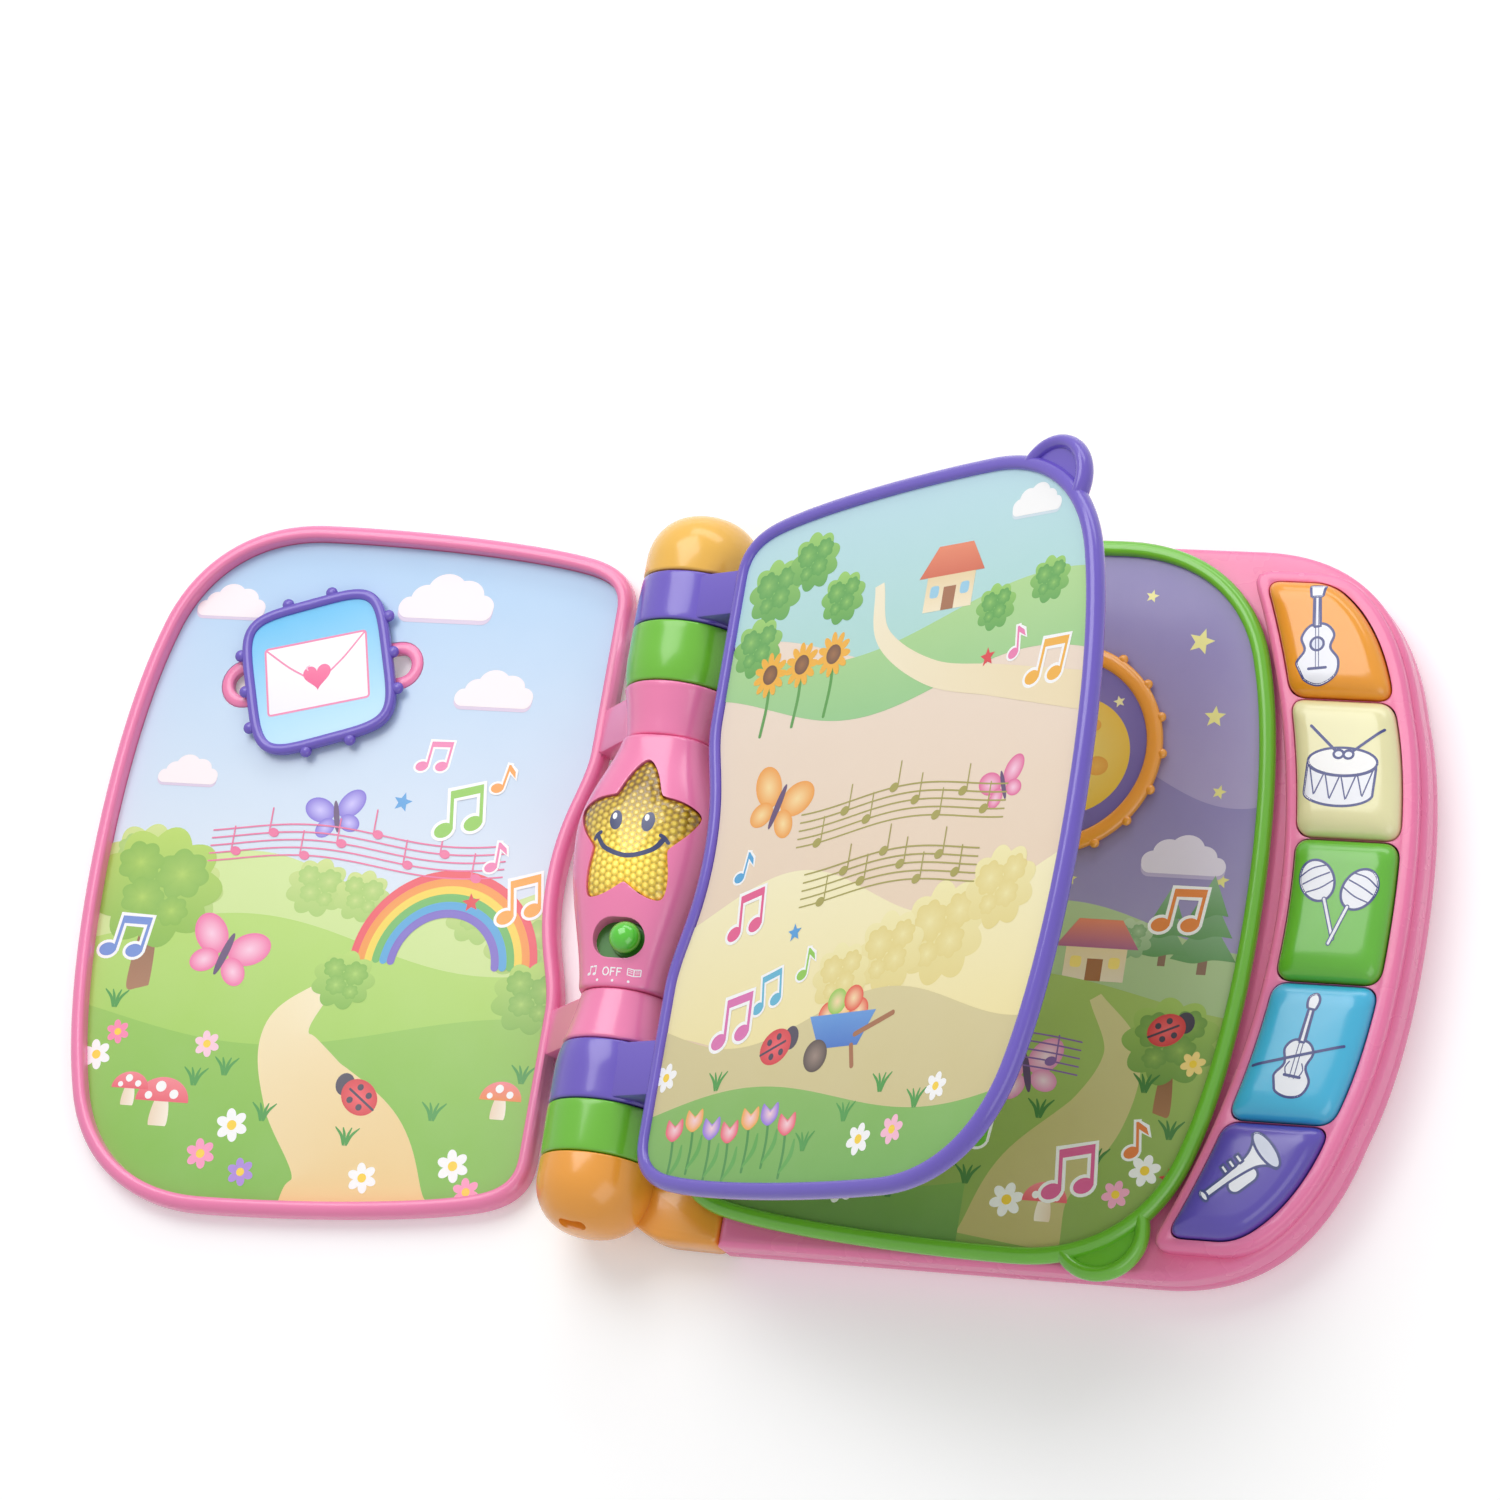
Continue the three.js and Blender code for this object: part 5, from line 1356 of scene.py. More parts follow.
def make_purple_page():
    place = leaf(PURPLE_TURN)
    sink = (PAGE_THICK - WEB) / 2
    solid = page_solid(PURPLE_OFFSET, PAGE_THICK, sink, [(2, 1), (1, -1)], 1)
    make("purple_page", solid, place, "purple_page", purple, ["purple_page_frame"])
    looks = (("peach_card", "ecd3b4", "f3e0cf", -60, 60), ("purple_under", "cfe7a0", "f6dcc6", -60, 60))
    prints = (purple_print(), under_print("a3cf6c", "cfe39a", "8f6ee0"))
    leaf_cards("purple_page", place, PURPLE_OFFSET - PAGE_THICK / 2 + sink, prints, looks)


def slide_slot(longer, wider):
    """Outline of the tile's slot, longer and wider than the bezel by the given sizes."""
    return obround(*TILE_PLACE, BEZEL_LENGTH + longer, BEZEL_WIDTH + wider, SLIDE_TILT)


def make_cover():
    place = leaf(180)
    low, high = COVER_OFFSET - COVER_THICK / 2, COVER_OFFSET + COVER_THICK / 2
    sink = COVER_THICK - WEB - COVER_SINK
    web_low = low + sink
    bezel_low = web_low - 1.2
    solid = page_solid(COVER_OFFSET, COVER_THICK, sink, [(0, 1), (0, -1)], 0)
    frame_obj = opened("cover", solid, place, prism(slide_slot(-8, -8), web_low - 3, high + 1))
    finish_piece(frame_obj, "cover", pink, ["cover_frame"])

    outline = slide_slot(0, 0)
    section = [(0.0, web_low + 0.2)]
    section += [(2.0 + 2.0 * math.cos(t), bezel_low + 0.9 - 0.9 * math.sin(t))
                for t in np.linspace(math.pi, 0, 14)]
    section += [(4.0, web_low + 0.2)]
    rings = [raised(inset(outline, amount), level) for amount, level in section]
    make("cover_bezel", skin(rings, True), place, "cover", pink)

    inner_low = web_low - CARD_THICK - CARD_GAP
    inner = opened("cover_inner_panel", card(inner_low), place, prism(slide_slot(0.4, 0.4), low, high))
    sky = printed_card("sky_card", "dfe9f6", "a8cdf0", -10, 105)
    finish_piece(inner, "cover", sky, ["cover_inner_card"])
    cover_print().build("cover_inner_print", laid(place, inner_low, -1), "cover")

    outer_low = web_low + WEB + CARD_GAP
    outer = opened("cover_outer_panel", card(outer_low), place, prism(slide_slot(4, 6), low, high))
    rose = printed_card("pink_card", "f6b6cf", "f9d8e6", -110, 110)
    finish_piece(outer, "cover", rose, ["cover_outer_card"])
    back = Print()
    for k in range(6):
        ink = ("e85f9f", "6fc23a", "6c57c4")[k % 3]
        note(back, 70 + 22 * (k % 3), -40 + 34 * (k // 3) - 24, 15, ink, 8)
    for k in range(9):
        flower(back, 46 + 16 * k, -90 + 5 * math.sin(2.0 * k), 7, "ffffff")
    back.build("cover_outer_print", laid(place, outer_low + CARD_THICK), "cover")
    make_tile(place, low, bezel_low)


def make_tile(place, low, bezel_low):
    """Sliding tile: bulging square rim with beads, sunk sky window and a plain envelope with a heart."""
    tile_low, tile_high = low + SEAT_GAP, bezel_low - SEAT_GAP
    half = TILE_SIZE / 2
    turn = turn_matrix(TILE_TILT)

    def at(points):
        return np.asarray(points, float) @ turn.T + TILE_PLACE

    outline = superellipse(half, TILE_POWER, 200)
    rim = TILE_RIM
    profile = [(0.8, tile_high), (0.2, tile_high - 0.3), (0, tile_high - 0.8)]
    profile += [(rim / 2 - rim / 2 * math.cos(a), tile_low + 1.2 - 1.2 * math.sin(a))
                for a in np.linspace(0, math.pi, 15)]
    profile.append((rim, tile_low + 1.3))
    levels = [raised(at(inset(outline, a)), b) for a, b in profile]
    solids = [loft(levels[::-1])]
    reach = half + 0.4
    beads = [(side * reach, s * half) for side in (1, -1) for s in (-0.5, 0, 0.5)]
    beads += [(s * half, side * reach) for side in (1, -1) for s in (-0.3, 0.3)]
    middle = (tile_low + tile_high) / 2
    for x, y in beads:
        bx, by = at([(x, y)])[0]
        solids.append(ball(bx, by, middle, 2.0, ((tile_high - tile_low) / 2 - 0.1) / 2.0))
    solids.append(prism(slide_slot(-28.6, -8.6), tile_high - 0.6, bezel_low + 1.3 + WEB))
    make("letter_slider_rim", joined(*solids), place, "slider", purple, ["letter_slider"])
    sheet = Print(start=0.01)
    window = at(inset(outline, rim - 0.2)) * [-1, 1]
    sheet.fill(window, "bfe8fb", "46bdf2", (-0.35, 1))
    envelope(sheet)
    sheet.build("letter_slider_print", laid(place, tile_low + 1.3, -1, -1), "slider")


def envelope(sheet):
    """Envelope drawn upright for the viewer: X here is the viewer's, so the local X is mirrored."""
    x, y = -TILE_PLACE[0], TILE_PLACE[1]
    turn = turn_matrix(14.0)

    def at(points):
        return np.asarray(points, float) @ turn.T + [x - 0.4, y - 0.6]

    body = round_corners([(-17.5, -11.5), (17.5, -11.5), (17.5, 11.5), (-17.5, 11.5)], 1.2, 4)
    sheet.fill(at(body), "f6f2fb", "ffffff")
    sheet.stroke(at(body), 0.7, "f07fae", closed=True)
    flap = curve((-17, 11), (-8, 2.6), (0, -1.8), (8, 2.6), (17, 11))
    sheet.stroke(at(flap), 0.6, "f07fae")
    angle = np.linspace(0, 2 * math.pi, 60, endpoint=False)
    rise = 13 * np.cos(angle) - 5 * np.cos(2 * angle) - 2 * np.cos(3 * angle) - np.cos(4 * angle)
    heart = np.stack([16 * np.sin(angle) ** 3, rise], 1) * 0.30
    sheet.fill(at(heart + [0, -0.8]), "ee3f86", "f9689f")
    shine = curve((-3.0, 1.4), (-3.4, 2.6), (-2.2, 3.2))
    sheet.stroke(at(shine), 0.6, "ffc4dc", taper=True)


# Base and keys

BASE = base_outline()


def inner_x(y, margin=0.0):
    return CRESCENT_INNER + margin - CRESCENT_BOW * y * y


def crescent_piece(inner_margin, outer_inset, low, high, radius, samples=24):
    """Part of the key crescent between two Y values: parabola inside, the base's curve outside."""
    outer = inset(BASE, outer_inset)
    y = np.linspace(low, high, samples + 1)
    right = np.stack([outer_x(outer, y), y], 1)
    left = np.stack([inner_x(y, inner_margin), y], 1)[::-1]
    corners = np.vstack([right, left])
    marks = np.zeros(len(corners))
    for k in (0, samples, samples + 1, 2 * samples + 1):
        marks[k] = radius
    return resample(smooth_corners(corners, marks), 200)


def smooth_corners(corners, marks):
    """Rounds the marked corners even where their neighbours are closer than the radius."""
    keep = []
    count = len(corners)
    for i, point in enumerate(corners):
        near = [corners[j] for j in range(count) if marks[j] and j != i]
        if not marks[i] and any(np.linalg.norm(point - q) < marks.max() for q in near):
            continue
        keep.append(i)
    return round_corners(corners[keep], [marks[i] for i in keep], 12)


def key_plan(index):
    high, low = KEY_SPLITS[index], KEY_SPLITS[index + 1]
    gap = KEY_GAP / 2
    return crescent_piece(KEY_INNER_MARGIN, KEY_OUTER_INSET, low + gap, high - gap, 5.0)


def key_height(share):
    """Height of a pillowed key over its rim from the share of the way out, 1 at the edge."""
    s = np.clip(share, 0, 1)
    edge = np.clip((s - 0.62) / 0.38, 0, 1)
    return KEY_DOME * (1 - edge**2.4) ** 0.55 * 0.93 + 0.07 * KEY_DOME * (1 - s * s)


def make_keys():
    for index, (name, paint) in enumerate(key_paints.items()):
        plan = key_plan(index)
        middle = (plan.min(0) + plan.max(0)) / 2
        shares = 1 - np.linspace(0, 1, 40) ** 1.6 * 0.985
        levels = [raised(plan, CRESCENT_TOP - 5), raised(plan, CRESCENT_TOP - 0.2)]
        for s in shares:
            levels.append(raised(middle + (plan - middle) * s, CRESCENT_TOP + key_height(s)))
        make(name + "_cap", loft(levels), on_base, f"key_{index + 1}", paint, [name])
        key_icon(index, plan, middle)


def key_icon(index, plan, middle):
    """A plain line drawing of an instrument, laid on the pillowed top."""
    offset = plan - middle
    direction = np.arctan2(offset[:, 1], offset[:, 0])
    order = np.argsort(direction)
    reach = np.linalg.norm(offset, axis=1)[order]
    angles = direction[order]

    def height(x, y):
        dx, dy = x - middle[0], y - middle[1]
        edge = np.interp(np.arctan2(dy, dx), angles, reach, period=2 * math.pi)
        return CRESCENT_TOP + key_height(np.hypot(dx, dy) / edge)

    sheet = Print(height, 0.03, spacing=0.7)
    draw, lean, size, shift = (
        (draw_guitar, 8, 1.22, (-2.6, -0.8)),
        (draw_drum, 0, 1.3, (0, 0)),
        (draw_maracas, 0, 1.3, (0, 0)),
        (draw_violin, -8, 1.42, (0, 0)),
        (draw_trumpet, 42, 1.22, (-2.0, 2.5)),
    )[index]
    draw(Pen(sheet, middle + shift, size, lean))
    sheet.build(f"key_icon_{index + 1}", on_base, f"key_{index + 1}")


class Pen:
    """Draws tinted fills and navy lines in an icon's own place and tilt."""

    def __init__(self, sheet, centre, scale, tilt):
        self.sheet, self.centre, self.scale, self.turn = sheet, np.array(centre), scale, turn_matrix(tilt)

    def at(self, points):
        return np.asarray(points, float) @ self.turn.T * self.scale + self.centre

    def shape(self, points, tint=PALE_INK):
        points = np.asarray(points, float)
        around = np.linalg.norm(points - np.roll(points, 1, 0), axis=1).sum()
        dense = resample(points, max(24, int(around / 0.6)))
        self.sheet.fill(self.at(dense), tint)
        self.sheet.stroke(self.at(dense), 0.8, LINE_INK, closed=True)

    def line(self, points, width=0.8, colour=LINE_INK):
        points = np.asarray(points, float)
        run = np.r_[0, np.cumsum(np.linalg.norm(np.diff(points, axis=0), axis=1))]
        at = np.linspace(0, run[-1], max(3, int(run[-1] / 0.6)))
        dense = np.stack([np.interp(at, run, points[:, 0]), np.interp(at, run, points[:, 1])], 1)
        self.sheet.stroke(self.at(dense), width, colour)


def draw_guitar(pen):
    body = loop((-3.6, -10.5), (0.4, -12.2), (4.6, -10.2), (5.4, -6.2), (3.4, -2.8), (4.4, 0.6),
                (2.2, 3.4), (-1.6, 3.4), (-4.0, 0.4), (-3.2, -3.0), (-5.4, -6.4))
    pen.shape(body)
    pen.shape(trapezoid(0, 3.0, 0.9, 11.0, 0.8))
    pen.shape(trapezoid(0, 11.0, 1.5, 14.2, 1.9))
    pen.shape(ellipse(0, -1.6, 1.7, 1.7, 24), "dfe4f6")
    pen.line([(-2.2, -8.0), (2.2, -8.0)], 0.9)
    for x in (-0.4, 0.4):
        pen.line([(x, -8), (x, 11)], 0.25)


def draw_drum(pen):
    top, bottom = (ellipse(0, y, 8.4, 3.2, 40)[20:] for y in (0.5, -6.8))
    pen.shape(np.vstack([top, bottom[::-1]]))
    pen.shape(ellipse(0, 0.8, 8.4, 3.4, 40), "ffffff")
    x = np.linspace(-7.8, 7.8, 9)
    zigzag = [(a, (-8.6 if k % 2 else -2.2) + 0.03 * a * a) for k, a in enumerate(x)]
    pen.line(zigzag, 0.45)
    for side in (-1, 1):
        pen.line([(side * 1.6, 3.0), (side * 8.8, 9.2)], 0.9)
        pen.shape(ellipse(side * 1.2, 2.6, 1.2, 1.0, 16))


def draw_maracas(pen):
    for side in (-1, 1):
        middle, lean = np.array([side * 5.2, 5.4 - side * 0.8]), side * -28
        pen.shape(ellipse(*middle, 4.0, 5.2, 40, lean))
        start = np.array([side * 2.9, 1.0 - side * 0.8])
        end = np.array([-side * 0.4, -8.2 - side * 0.6])
        pen.line([start, end], 1.5)
        pen.line([start, end], 0.8, PALE_INK)
        for k in (-1.6, 0.6, 2.6):
            across, up = turn_matrix(lean) @ [3.4, 0], turn_matrix(lean) @ [0, k]
            pen.line(curve(middle + up - across, middle + up * 1.25, middle + up + across), 0.45)


def draw_violin(pen):
    body = loop((-3.0, -9.6), (0, -10.6), (3.0, -9.6), (4.0, -6.6), (2.4, -3.6), (3.2, -0.4),
                (1.6, 1.8), (-1.6, 1.8), (-3.2, -0.4), (-2.4, -3.6), (-4.0, -6.6))
    pen.shape(body)
    pen.shape(trapezoid(0, 1.6, 0.7, 9.0, 0.55))
    pen.shape(loop((-0.8, 9.0), (-1.2, 11.4), (0.2, 12.6), (1.3, 11.2), (0.8, 9.0)))
    for side in (-1, 1):
        pen.line(curve((side * 1.5, -5.8), (side * 2.0, -4.4), (side * 1.4, -3.0)), 0.4)
    for side in (-0.5, 0.5):
        pen.line([(side, -6.4), (0.7 * side, 8.6)], 0.3)
    pen.line([(-1.7, -6.0), (1.7, -6.0)], 0.9)
    pen.line([(-9.2, -5.4), (9.2, 2.6)], 0.9)


def draw_trumpet(pen):
    pen.shape(obround(-0.6, -2.7, 8.4, 4.0))
    pen.shape(loop((-10.5, 0), (-10.3, 0.9), (-3.0, 1.1), (3.4, 1.9), (6.4, 3.6), (8.2, 5.4),
                   (8.2, -5.4), (6.4, -3.6), (3.4, -1.9), (-3.0, -1.1), (-10.3, -0.9)))
    pen.shape(ellipse(8.3, 0, 2.0, 5.6, 44), "d9def2")
    pen.shape(ellipse(-10.6, 0, 0.8, 1.6, 20))
    for x in (-2.8, -0.6, 1.6):
        pen.shape(trapezoid(x, 1.2, 0.6, 3.6, 0.6))


def make_base():
    make_lower_shell()
    wells = [inset(key_plan(k), -0.5) for k in range(len(KEY_SPLITS) - 1)]
    make_upper_shell(wells)
    make_surround(wells)
    panel = stack(inset(PAGE, RIM_WIDTH + 0.3), [(0, DECK - 0.95), (0, DECK - 0.55)])
    look = printed_card("base_card", "bfe08a", "bfe3f4", -60, 60)
    make("base_picture_panel", panel, on_base, "base", look, ["base_picture_card"])
    sheet = under_print("8cc63f", "b9dc6a", "ffffff")
    sheet.build("base_picture_print", laid(on_base, DECK - 0.55), "base")


def make_lower_shell():
    """Tray with a rounded lower edge, speaker and screw holes and the battery opening."""
    top = PARTING - SEAT_GAP / 2
    profile = [(6.0, 0.0), *arc(5.0, 5.0, 5.0, -90, -180, 10)]
    profile += [(0.0, PARTING - 0.5), (0.25, top), (WALL, top), (WALL, WALL)]
    holes = [(x, y, 1.6, 20) for x, y in speaker_holes()]
    holes += [(x, y, 3.3, 28) for x, y in ((45, 84), (45, -84), (160, 98), (160, -98))]
    cutters = [prism(ellipse(x, y, radius, radius, steps), -1, WALL + 1) for x, y, radius, steps in holes]
    door = round_corners([(134.5, 66.3), (65.0, 66.3), (65.0, 33.8), (134.5, 33.8)], 3.0, 6)[::-1]
    cutters.append(prism(door, -1, WALL + 1))
    lower = opened("base_lower", stack(BASE, profile), on_base, joined(*cutters))
    finish_piece(lower, "base", pink_deep, ["base_lower_shell"])


def make_upper_shell(wells):
    """Deck with rounded edge, the sunk place of the picture and openings under the keys."""
    bottom = PARTING + SEAT_GAP / 2
    profile = [(WALL, DECK - WALL), (WALL, bottom), (0.25, bottom), (0.0, PARTING + 0.5)]
    profile += [*arc(2.6, DECK - 2.6, 2.6, 180, 90, 8), (4.0, DECK)]
    panel = prism(inset(PAGE, RIM_WIDTH), DECK - 1, DECK + 2)
    openings = joined(*[prism(well, DECK - WALL - 1, DECK + 1) for well in wells])
    upper = opened("base_upper", stack(BASE, profile), on_base, panel, openings)
    finish_piece(upper, "base", pink_deep, ["base_upper_shell"], sharp=32)


def make_surround(wells):
    """Raised crescent with an opening for each key."""
    crescent = crescent_piece(0, RIM_MARGIN, -CRESCENT_HALF, CRESCENT_HALF, 7, 40)
    rise = [(0.0, DECK - 1.2), *arc(2.0, CRESCENT_TOP - 2.0, 2.0, 180, 90, 8)]
    openings = [prism(well, DECK - 3, CRESCENT_TOP + 2) for well in wells]
    surround = opened("key_surround", stack(crescent, rise), on_base, *openings)
    soften(surround, 0.35, 60)
    finish_piece(surround, "base", pink_deep, sharp=50)


def speaker_holes():
    """Places of the holes: one in the middle and two rings round it."""
    x, y = 95.0, -52.0
    holes = [(x, y)]
    for count, radius in ((6, 7), (10, 14)):
        for k in range(count):
            a = 2 * math.pi * k / count
            holes.append((x + radius * math.cos(a), y + radius * math.sin(a)))
    return holes


# Spine


def swell(y):
    """Cosine swell along the spine, peaking under the star."""
    end = SLOTS[0]
    from_peak = np.asarray(y, float) - HOUSING_PEAK
    share = np.where(from_peak > 0, from_peak / (end - HOUSING_PEAK), -from_peak / (end + HOUSING_PEAK))
    return ((np.cos(math.pi * np.minimum(1, share)) + 1) / 2) ** 0.75


def housing_size(y, grow=0.0):
    """Half width and rise of the housing at a place on the spine."""
    least = RING_MIN + 0.4
    return [least + (most - least) * swell(y) + grow for most in (HOUSING_WIDTH, HOUSING_RISE)]


def housing_height(x, y):
    """Height of the housing's skin: rise * (1 - |x / width|^p)^(1/p), with p = HOUSING_POWER."""
    width, rise = housing_size(y)
    inside = np.clip(1 - np.abs(np.asarray(x, float) / width) ** HOUSING_POWER, 0, 1)
    return rise * inside ** (1 / HOUSING_POWER)


def housing_half(side):
    """Closed upper (+1) or lower (-1) half of the housing, split at the hinge axis."""
    half = SLOTS[0] - SEAT_GAP / 2
    ends = np.array([0, 0.25, 0.8])
    y = np.r_[-half + ends, np.linspace(-half + 1.4, half - 1.4, 90), half - ends[::-1]]
    drop = np.r_[0.8, 0.3, 0.05, np.zeros(90), 0.05, 0.3, 0.8]
    rings = []
    for place, fall in zip(y, drop):
        width, rise = housing_size(place, -fall)
        if side < 0:
            rise = min(rise, HOUSING_REAR)
        a = np.linspace(0, math.pi, 72)
        c, s = np.cos(a), np.sin(a)
        x = np.sign(c) * np.abs(c) ** 0.8 * width
        z = np.abs(s) ** 0.8 * rise
        x = np.r_[x, np.linspace(-width, width, 14)[1:-1]]
        z = np.r_[z, np.zeros(12)]
        z = np.maximum(z, SEAT_GAP / 2)
        rings.append(np.stack([x, np.full(len(x), place), side * z], 1))
    return loft(rings)


def star_outline(grow, count=240):
    """Five soft arms: radius follows a rounded cosine of the angle."""
    angle = np.linspace(0, 2 * math.pi, count, endpoint=False) + math.pi / 2
    wave = np.abs(np.cos(2.5 * (angle - math.pi / 2)))
    radius = STAR_RADIUS * (0.60 + 0.40 * (1 - np.sqrt(1 - (wave * 0.985) ** 2)) ** 0.75) + grow
    return np.stack([STAR_SQUEEZE * radius * np.cos(angle),
                     STAR_CENTRE + STAR_STRETCH * radius * np.sin(angle)], 1)


def star_height(x, y):
    """Lens skin: the housing's own curve raised into a pillow that falls away at the rim."""
    offset = star_outline(-LENS_GAP) - [0, STAR_CENTRE]
    angle = np.arctan2(offset[:, 1], offset[:, 0])
    order = np.argsort(angle)
    reach = np.linalg.norm(offset, axis=1)
    dx, dy = np.asarray(x, float), np.asarray(y, float) - STAR_CENTRE
    edge = np.interp(np.arctan2(dy, dx), angle[order], reach[order], period=2 * math.pi)
    share = np.clip(np.hypot(dx, dy) / edge, 0, 1)
    return housing_height(x, y) + 1.6 * (1 - share**6) - 1.0


def make_spine():
    window = prism(star_outline(0.1), 4, 60)
    pocket = prism(obround(0, SWITCH_PLACE, 17.4, 12.6), SWITCH_FLOOR, 60)
    front = opened("housing_front", housing_half(1), on_spine, window, pocket)
    soften(front, 0.5, 50)
    finish_piece(front, "base", pink, ["star_housing_front"], sharp=45)

    near, far = 14.6, BASE_INNER + 2
    corners = np.array([(near, -30), (far, -30), (far, 30), (near, 30)])
    bracket = prism(corners, 4 - AXIS_HEIGHT, 13 - AXIS_HEIGHT)
    make("housing_rear", joined(housing_half(-1), bracket), on_spine, "base", pink, ["star_housing_rear"])

    outline = star_outline(-LENS_GAP)
    centre = np.array([0.0, STAR_CENTRE])
    rings = [raised(outline, 5.0)]
    for share in 1 - np.linspace(0, 1, 60) ** 1.5 * 0.99:
        flat = centre + (outline - centre) * share
        rings.append(np.c_[flat, star_height(flat[:, 0], flat[:, 1])])
    make("star_lens_skin", loft(rings), on_spine, "base", star_material(), ["star_lens"])
    star_face()
    make_switch()
    make_labels()
    for side, paint in ((1, yellow), (-1, orange)):
        make_cap(side, paint)


def star_face():
    """Two oval eyes with a glint and a plain arc for a smile."""
    sheet = Print(star_height, 0.05, spacing=0.8)
    navy = "1a2c66"
    for side in (-1, 1):
        sheet.fill(ellipse(side * 5.4, STAR_CENTRE + 3.4, 2.1, 3.2, 40, -side * 6), navy)
        sheet.fill(ellipse(side * 5.4 - 0.6, STAR_CENTRE + 4.7, 0.75, 1.1, 20), "ffffff")
    smile = curve((-11.2, STAR_CENTRE - 1.4), (-7.6, STAR_CENTRE - 5.6), (0, STAR_CENTRE - 7.8),
                  (7.6, STAR_CENTRE - 5.6), (11.2, STAR_CENTRE - 1.4))
    sheet.stroke(smile, 1.5, navy)
    for side in (-1, 1):
        sheet.stroke(curve((side * 10.0, STAR_CENTRE - 0.6), (side * 11.2, STAR_CENTRE - 1.2),
                           (side * 12.2, STAR_CENTRE - 2.4)), 1.2, navy)
    sheet.build("star_face", on_spine, "base")


def make_switch():
    """Glossy ball knob on a dark green sliding plate."""
    floor = SWITCH_FLOOR + SEAT_GAP
    x = SWITCH_TRAVEL / 2
    profile = [(0.4, floor), (0, floor + 0.4), (0, floor + 1.0), (0.3, floor + 1.3)]
    plate = stack(obround(x, SWITCH_PLACE, 11.4, 11.0), profile)
    make("switch_plate", plate, on_spine, "switch", dark_green)
    profile = [(3.4, 0), (3.4, 1.2)]
    profile += [(5.0 * math.cos(a), 3.9 + 4.3 * math.sin(a)) for a in np.linspace(-0.7, 1.55, 22)]
    rings = [raised(ellipse(x, SWITCH_PLACE, radius, radius, 56), floor + 0.6 + height)
             for radius, height in profile]
    make("switch_knob", loft(rings), on_spine, "switch", knob_green, ["mode_switch"])
    liner = prism(obround(0, SWITCH_PLACE, 17.2, 12.4), SWITCH_FLOOR - 0.6, SWITCH_FLOOR + 0.05)
    make("switch_liner", liner, on_spine, "base", dark_green)


def make_labels():
    """White switch marks: a note, OFF, an open book and three dots."""
    sheet = Print(housing_height, 0.02)
    white = "ffffff"
    y = SWITCH_PLACE - 10.6
    for hx in (-8.6, -6.6):
        sheet.fill(ellipse(hx, y - 0.9, 0.6, 0.45, 16, 20), white)
        sheet.stroke([(hx + 0.5, y - 0.9), (hx + 0.5, y + 1.4)], 0.28, white)
    sheet.stroke([(-8.1, y + 1.3), (-6.1, y + 1.5)], 0.5, white)
    sheet.stroke(ellipse(-2.6, y, 0.95, 1.2, 28), 0.42, white, closed=True)
    for x0 in (-0.9, 1.2):
        sheet.stroke([(x0, y - 1.2), (x0, y + 1.2)], 0.42, white)
        sheet.stroke([(x0, y + 1.15), (x0 + 1.3, y + 1.15)], 0.42, white)
        sheet.stroke([(x0, y + 0.05), (x0 + 1.0, y + 0.05)], 0.42, white)
    for side in (-1, 1):
        fold, edge = 6.6, 6.6 + side * 2.0
        page = [(fold, y - 1.0), (edge, y - 0.7), (edge, y + 1.3), (fold, y + 1.0)]
        sheet.stroke(resample(np.array(page), 24), 0.3, white, closed=True)
        for rise in (-0.1, 0.5):
            line = [(fold + side * 0.5, y + rise), (fold + side * 1.6, y + rise + 0.2)]
            sheet.stroke(line, 0.18, white)
    for x0 in (-5.2, 0.0, 5.2):
        sheet.fill(ellipse(x0, SWITCH_PLACE - 13.4, 0.42, 0.42, 16), white)
    sheet.build("switch_labels", on_spine, "base")


def make_cap(side, paint):
    """Barrel with an elliptical end and an arm that seats in the base's corner notch."""
    start = SLOTS[3] + SEAT_GAP / 2
    shoulder = start + 6
    full = spine_radius(SLOTS[3])
    edge = ROUND_EDGE
    profile = [(0.05, start)]
    profile += [(full - edge + edge * math.sin(a), start + edge - edge * math.cos(a))
                for a in np.linspace(0, math.pi / 2, 5)]
    profile += [(full, shoulder)]
    profile += [(full * math.cos(a) ** 0.8, shoulder + (CAP_END - shoulder) * math.sin(a))
                for a in np.linspace(0, math.pi / 2 - 0.004, 26)[1:]]
    if side < 0:
        profile = [(r, -y) for r, y in profile][::-1]
    low, high = ARM_LOW - AXIS_HEIGHT, DECK - 0.5 - AXIS_HEIGHT
    inner, outer = SLOTS[3] + 3 + SEAT_GAP, BASE_HALF
    corners = [(ARM_REACH, outer), (20, outer - 0.6), (6, outer - 9), (6, inner), (ARM_REACH, inner)]
    plan = round_corners(corners, [3, 6, 0, 0, 0], 8)
    if side < 0:
        plan = (plan * [1, -1])[::-1]
    ease = [(1.6, 0), (0.5, 0.5), (0, 1.6)]
    arm = stack(plan, [(a, low + b) for a, b in ease] + [(a, high - b) for a, b in ease[::-1]])
    name = "spine_cap_top" if side > 0 else "spine_cap_bottom"
    dents = []
    if side < 0:
        dent = obround(-2, 8, 9, 4.4)
        dents = [loft([np.stack([dent[:, 0], np.full(len(dent), y), dent[:, 1]], 1)
                       for y in (-CAP_END - 1, -CAP_END + 5)])]
    obj = opened(name + "_shell", joined(lathe(profile), arm), on_spine, *dents)
    finish_piece(obj, "base", paint, [name], sharp=50)


# Parts kept from the solids

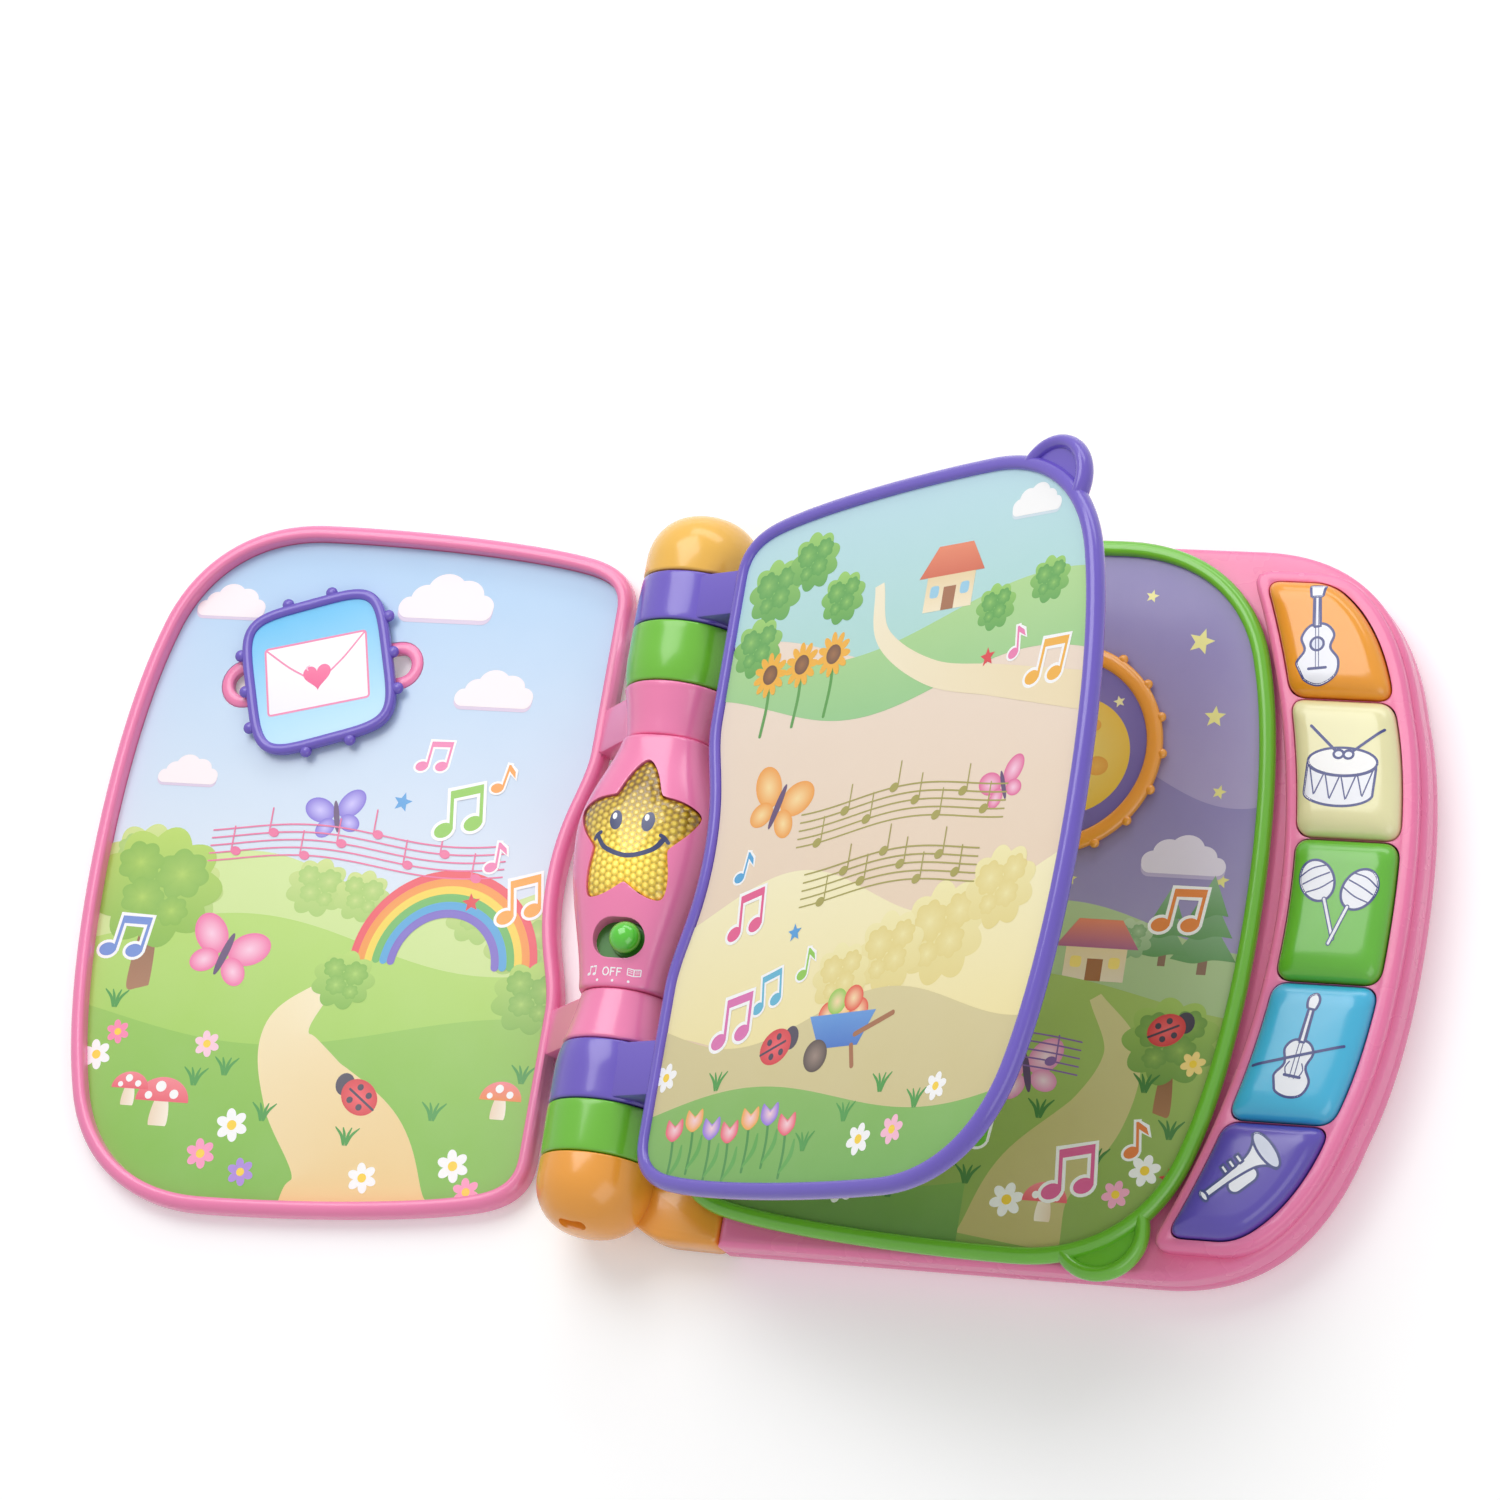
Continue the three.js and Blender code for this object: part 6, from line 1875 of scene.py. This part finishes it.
CARRIED = {
    "circuit_board": board_green, "key_contact_sheet": grey, "speaker": black, "speaker_magnet": steel,
    "battery_1": cell_wrap, "battery_2": cell_wrap,
    "battery_spring_contact": steel, "battery_plate_contact": steel,
    "battery_door": pink_deep, "battery_door_screw": steel, "case_screw_1": steel, "case_screw_2": steel,
    "case_screw_3": steel, "case_screw_4": steel, "star_light_board": board_green, "star_light": lamp_white,
    "switch_body": black, "spine_tube_top": grey, "spine_tube_bottom": grey, "dial_retainer": grey,
    "slider_back_plate": grey,
}

make_base()
make_keys()
make_spine()
make_green_page()
make_purple_page()
make_cover()
for node_name, look in CARRIED.items():
    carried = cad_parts[node_name]
    carried.data.materials.clear()
    carried.data.materials.append(look)

# Floor, lights and camera


def seen_directly(tree):
    """1 for what the camera, a gloss or a clear surface sees, and 0 for light on the object."""
    rays = add_node(tree, "LightPath", {}, {}).outputs
    seen = Shade(tree, rays["Is Camera Ray"]).math("MAXIMUM", Shade(tree, rays["Is Glossy Ray"]))
    return seen.math("MAXIMUM", Shade(tree, rays["Is Transmission Ray"]))


def make_floor():
    mesh = bpy.data.meshes.new("floor")
    reach = 6.0
    corners = [(-reach, -reach, 0), (reach, -reach, 0), (reach, reach, 0), (-reach, reach, 0)]
    mesh.from_pydata(corners, [], [(0, 1, 2, 3)])
    obj = bpy.data.objects.new("floor", mesh)
    bpy.context.scene.collection.objects.link(obj)
    material, tree, shader = new_material("pale_floor")
    fill_sockets(tree, shader, {
        "Base Color": (0.93, 0.93, 0.935, 1),
        "Roughness": 0.6,
        "Emission Color": blend(tree, seen_directly(tree), [0, 0, 0, 1], [0.2, 0.2, 0.2, 1]),
        "Emission Strength": 1.0,
    })
    mesh.materials.append(material)


def make_light(name, place, size, energy):
    """Rectangular lamp aimed at the origin."""
    data = bpy.data.lights.new(name, "AREA")
    data.shape = "RECTANGLE"
    data.size, data.size_y = size
    data.energy = energy
    obj = bpy.data.objects.new(name, data)
    bpy.context.scene.collection.objects.link(obj)
    turn = (-Vector(place)).to_track_quat("-Z", "Y").to_matrix().to_4x4()
    obj.matrix_world = Matrix.Translation(Vector(place)) @ turn


def make_world():
    world = bpy.data.worlds.new("studio")
    bpy.context.scene.world = world
    world.use_nodes = True
    tree = world.node_tree
    colour = blend(tree, seen_directly(tree), [0.42, 0.42, 0.42, 1], WHITE)
    fill_sockets(tree, tree.nodes["Background"], {"Color": colour, "Strength": 1.0})


def make_camera():
    right = (0.927817, 0.163523, -0.335284)
    up = (-0.048382, 0.943959, 0.326498)
    back = (0.369885, -0.286708, 0.883733)
    place = (0.8710, -0.63123, 2.0955)
    data = bpy.data.cameras.new("camera")
    data.sensor_width = 36.0
    data.lens = 36.0 * 7544 / 1500
    data.clip_end = 20
    obj = bpy.data.objects.new("camera", data)
    bpy.context.scene.collection.objects.link(obj)
    obj.matrix_world = Matrix([[right[i], up[i], back[i], place[i]] for i in range(3)] + [[0, 0, 0, 1]])
    bpy.context.scene.camera = obj


make_floor()
make_world()
make_light("key", (-0.5, 0.9, 1.5), (1.2, 1.2), 15.5)
make_light("fill", (1.2, -0.9, 1.3), (1.4, 1.0), 6)
make_light("rim", (0.2, 1.6, 0.8), (1.6, 0.5), 7)
make_camera()

scene = bpy.context.scene
scene.view_settings.view_transform = "Standard"
scene.view_settings.look = "None"
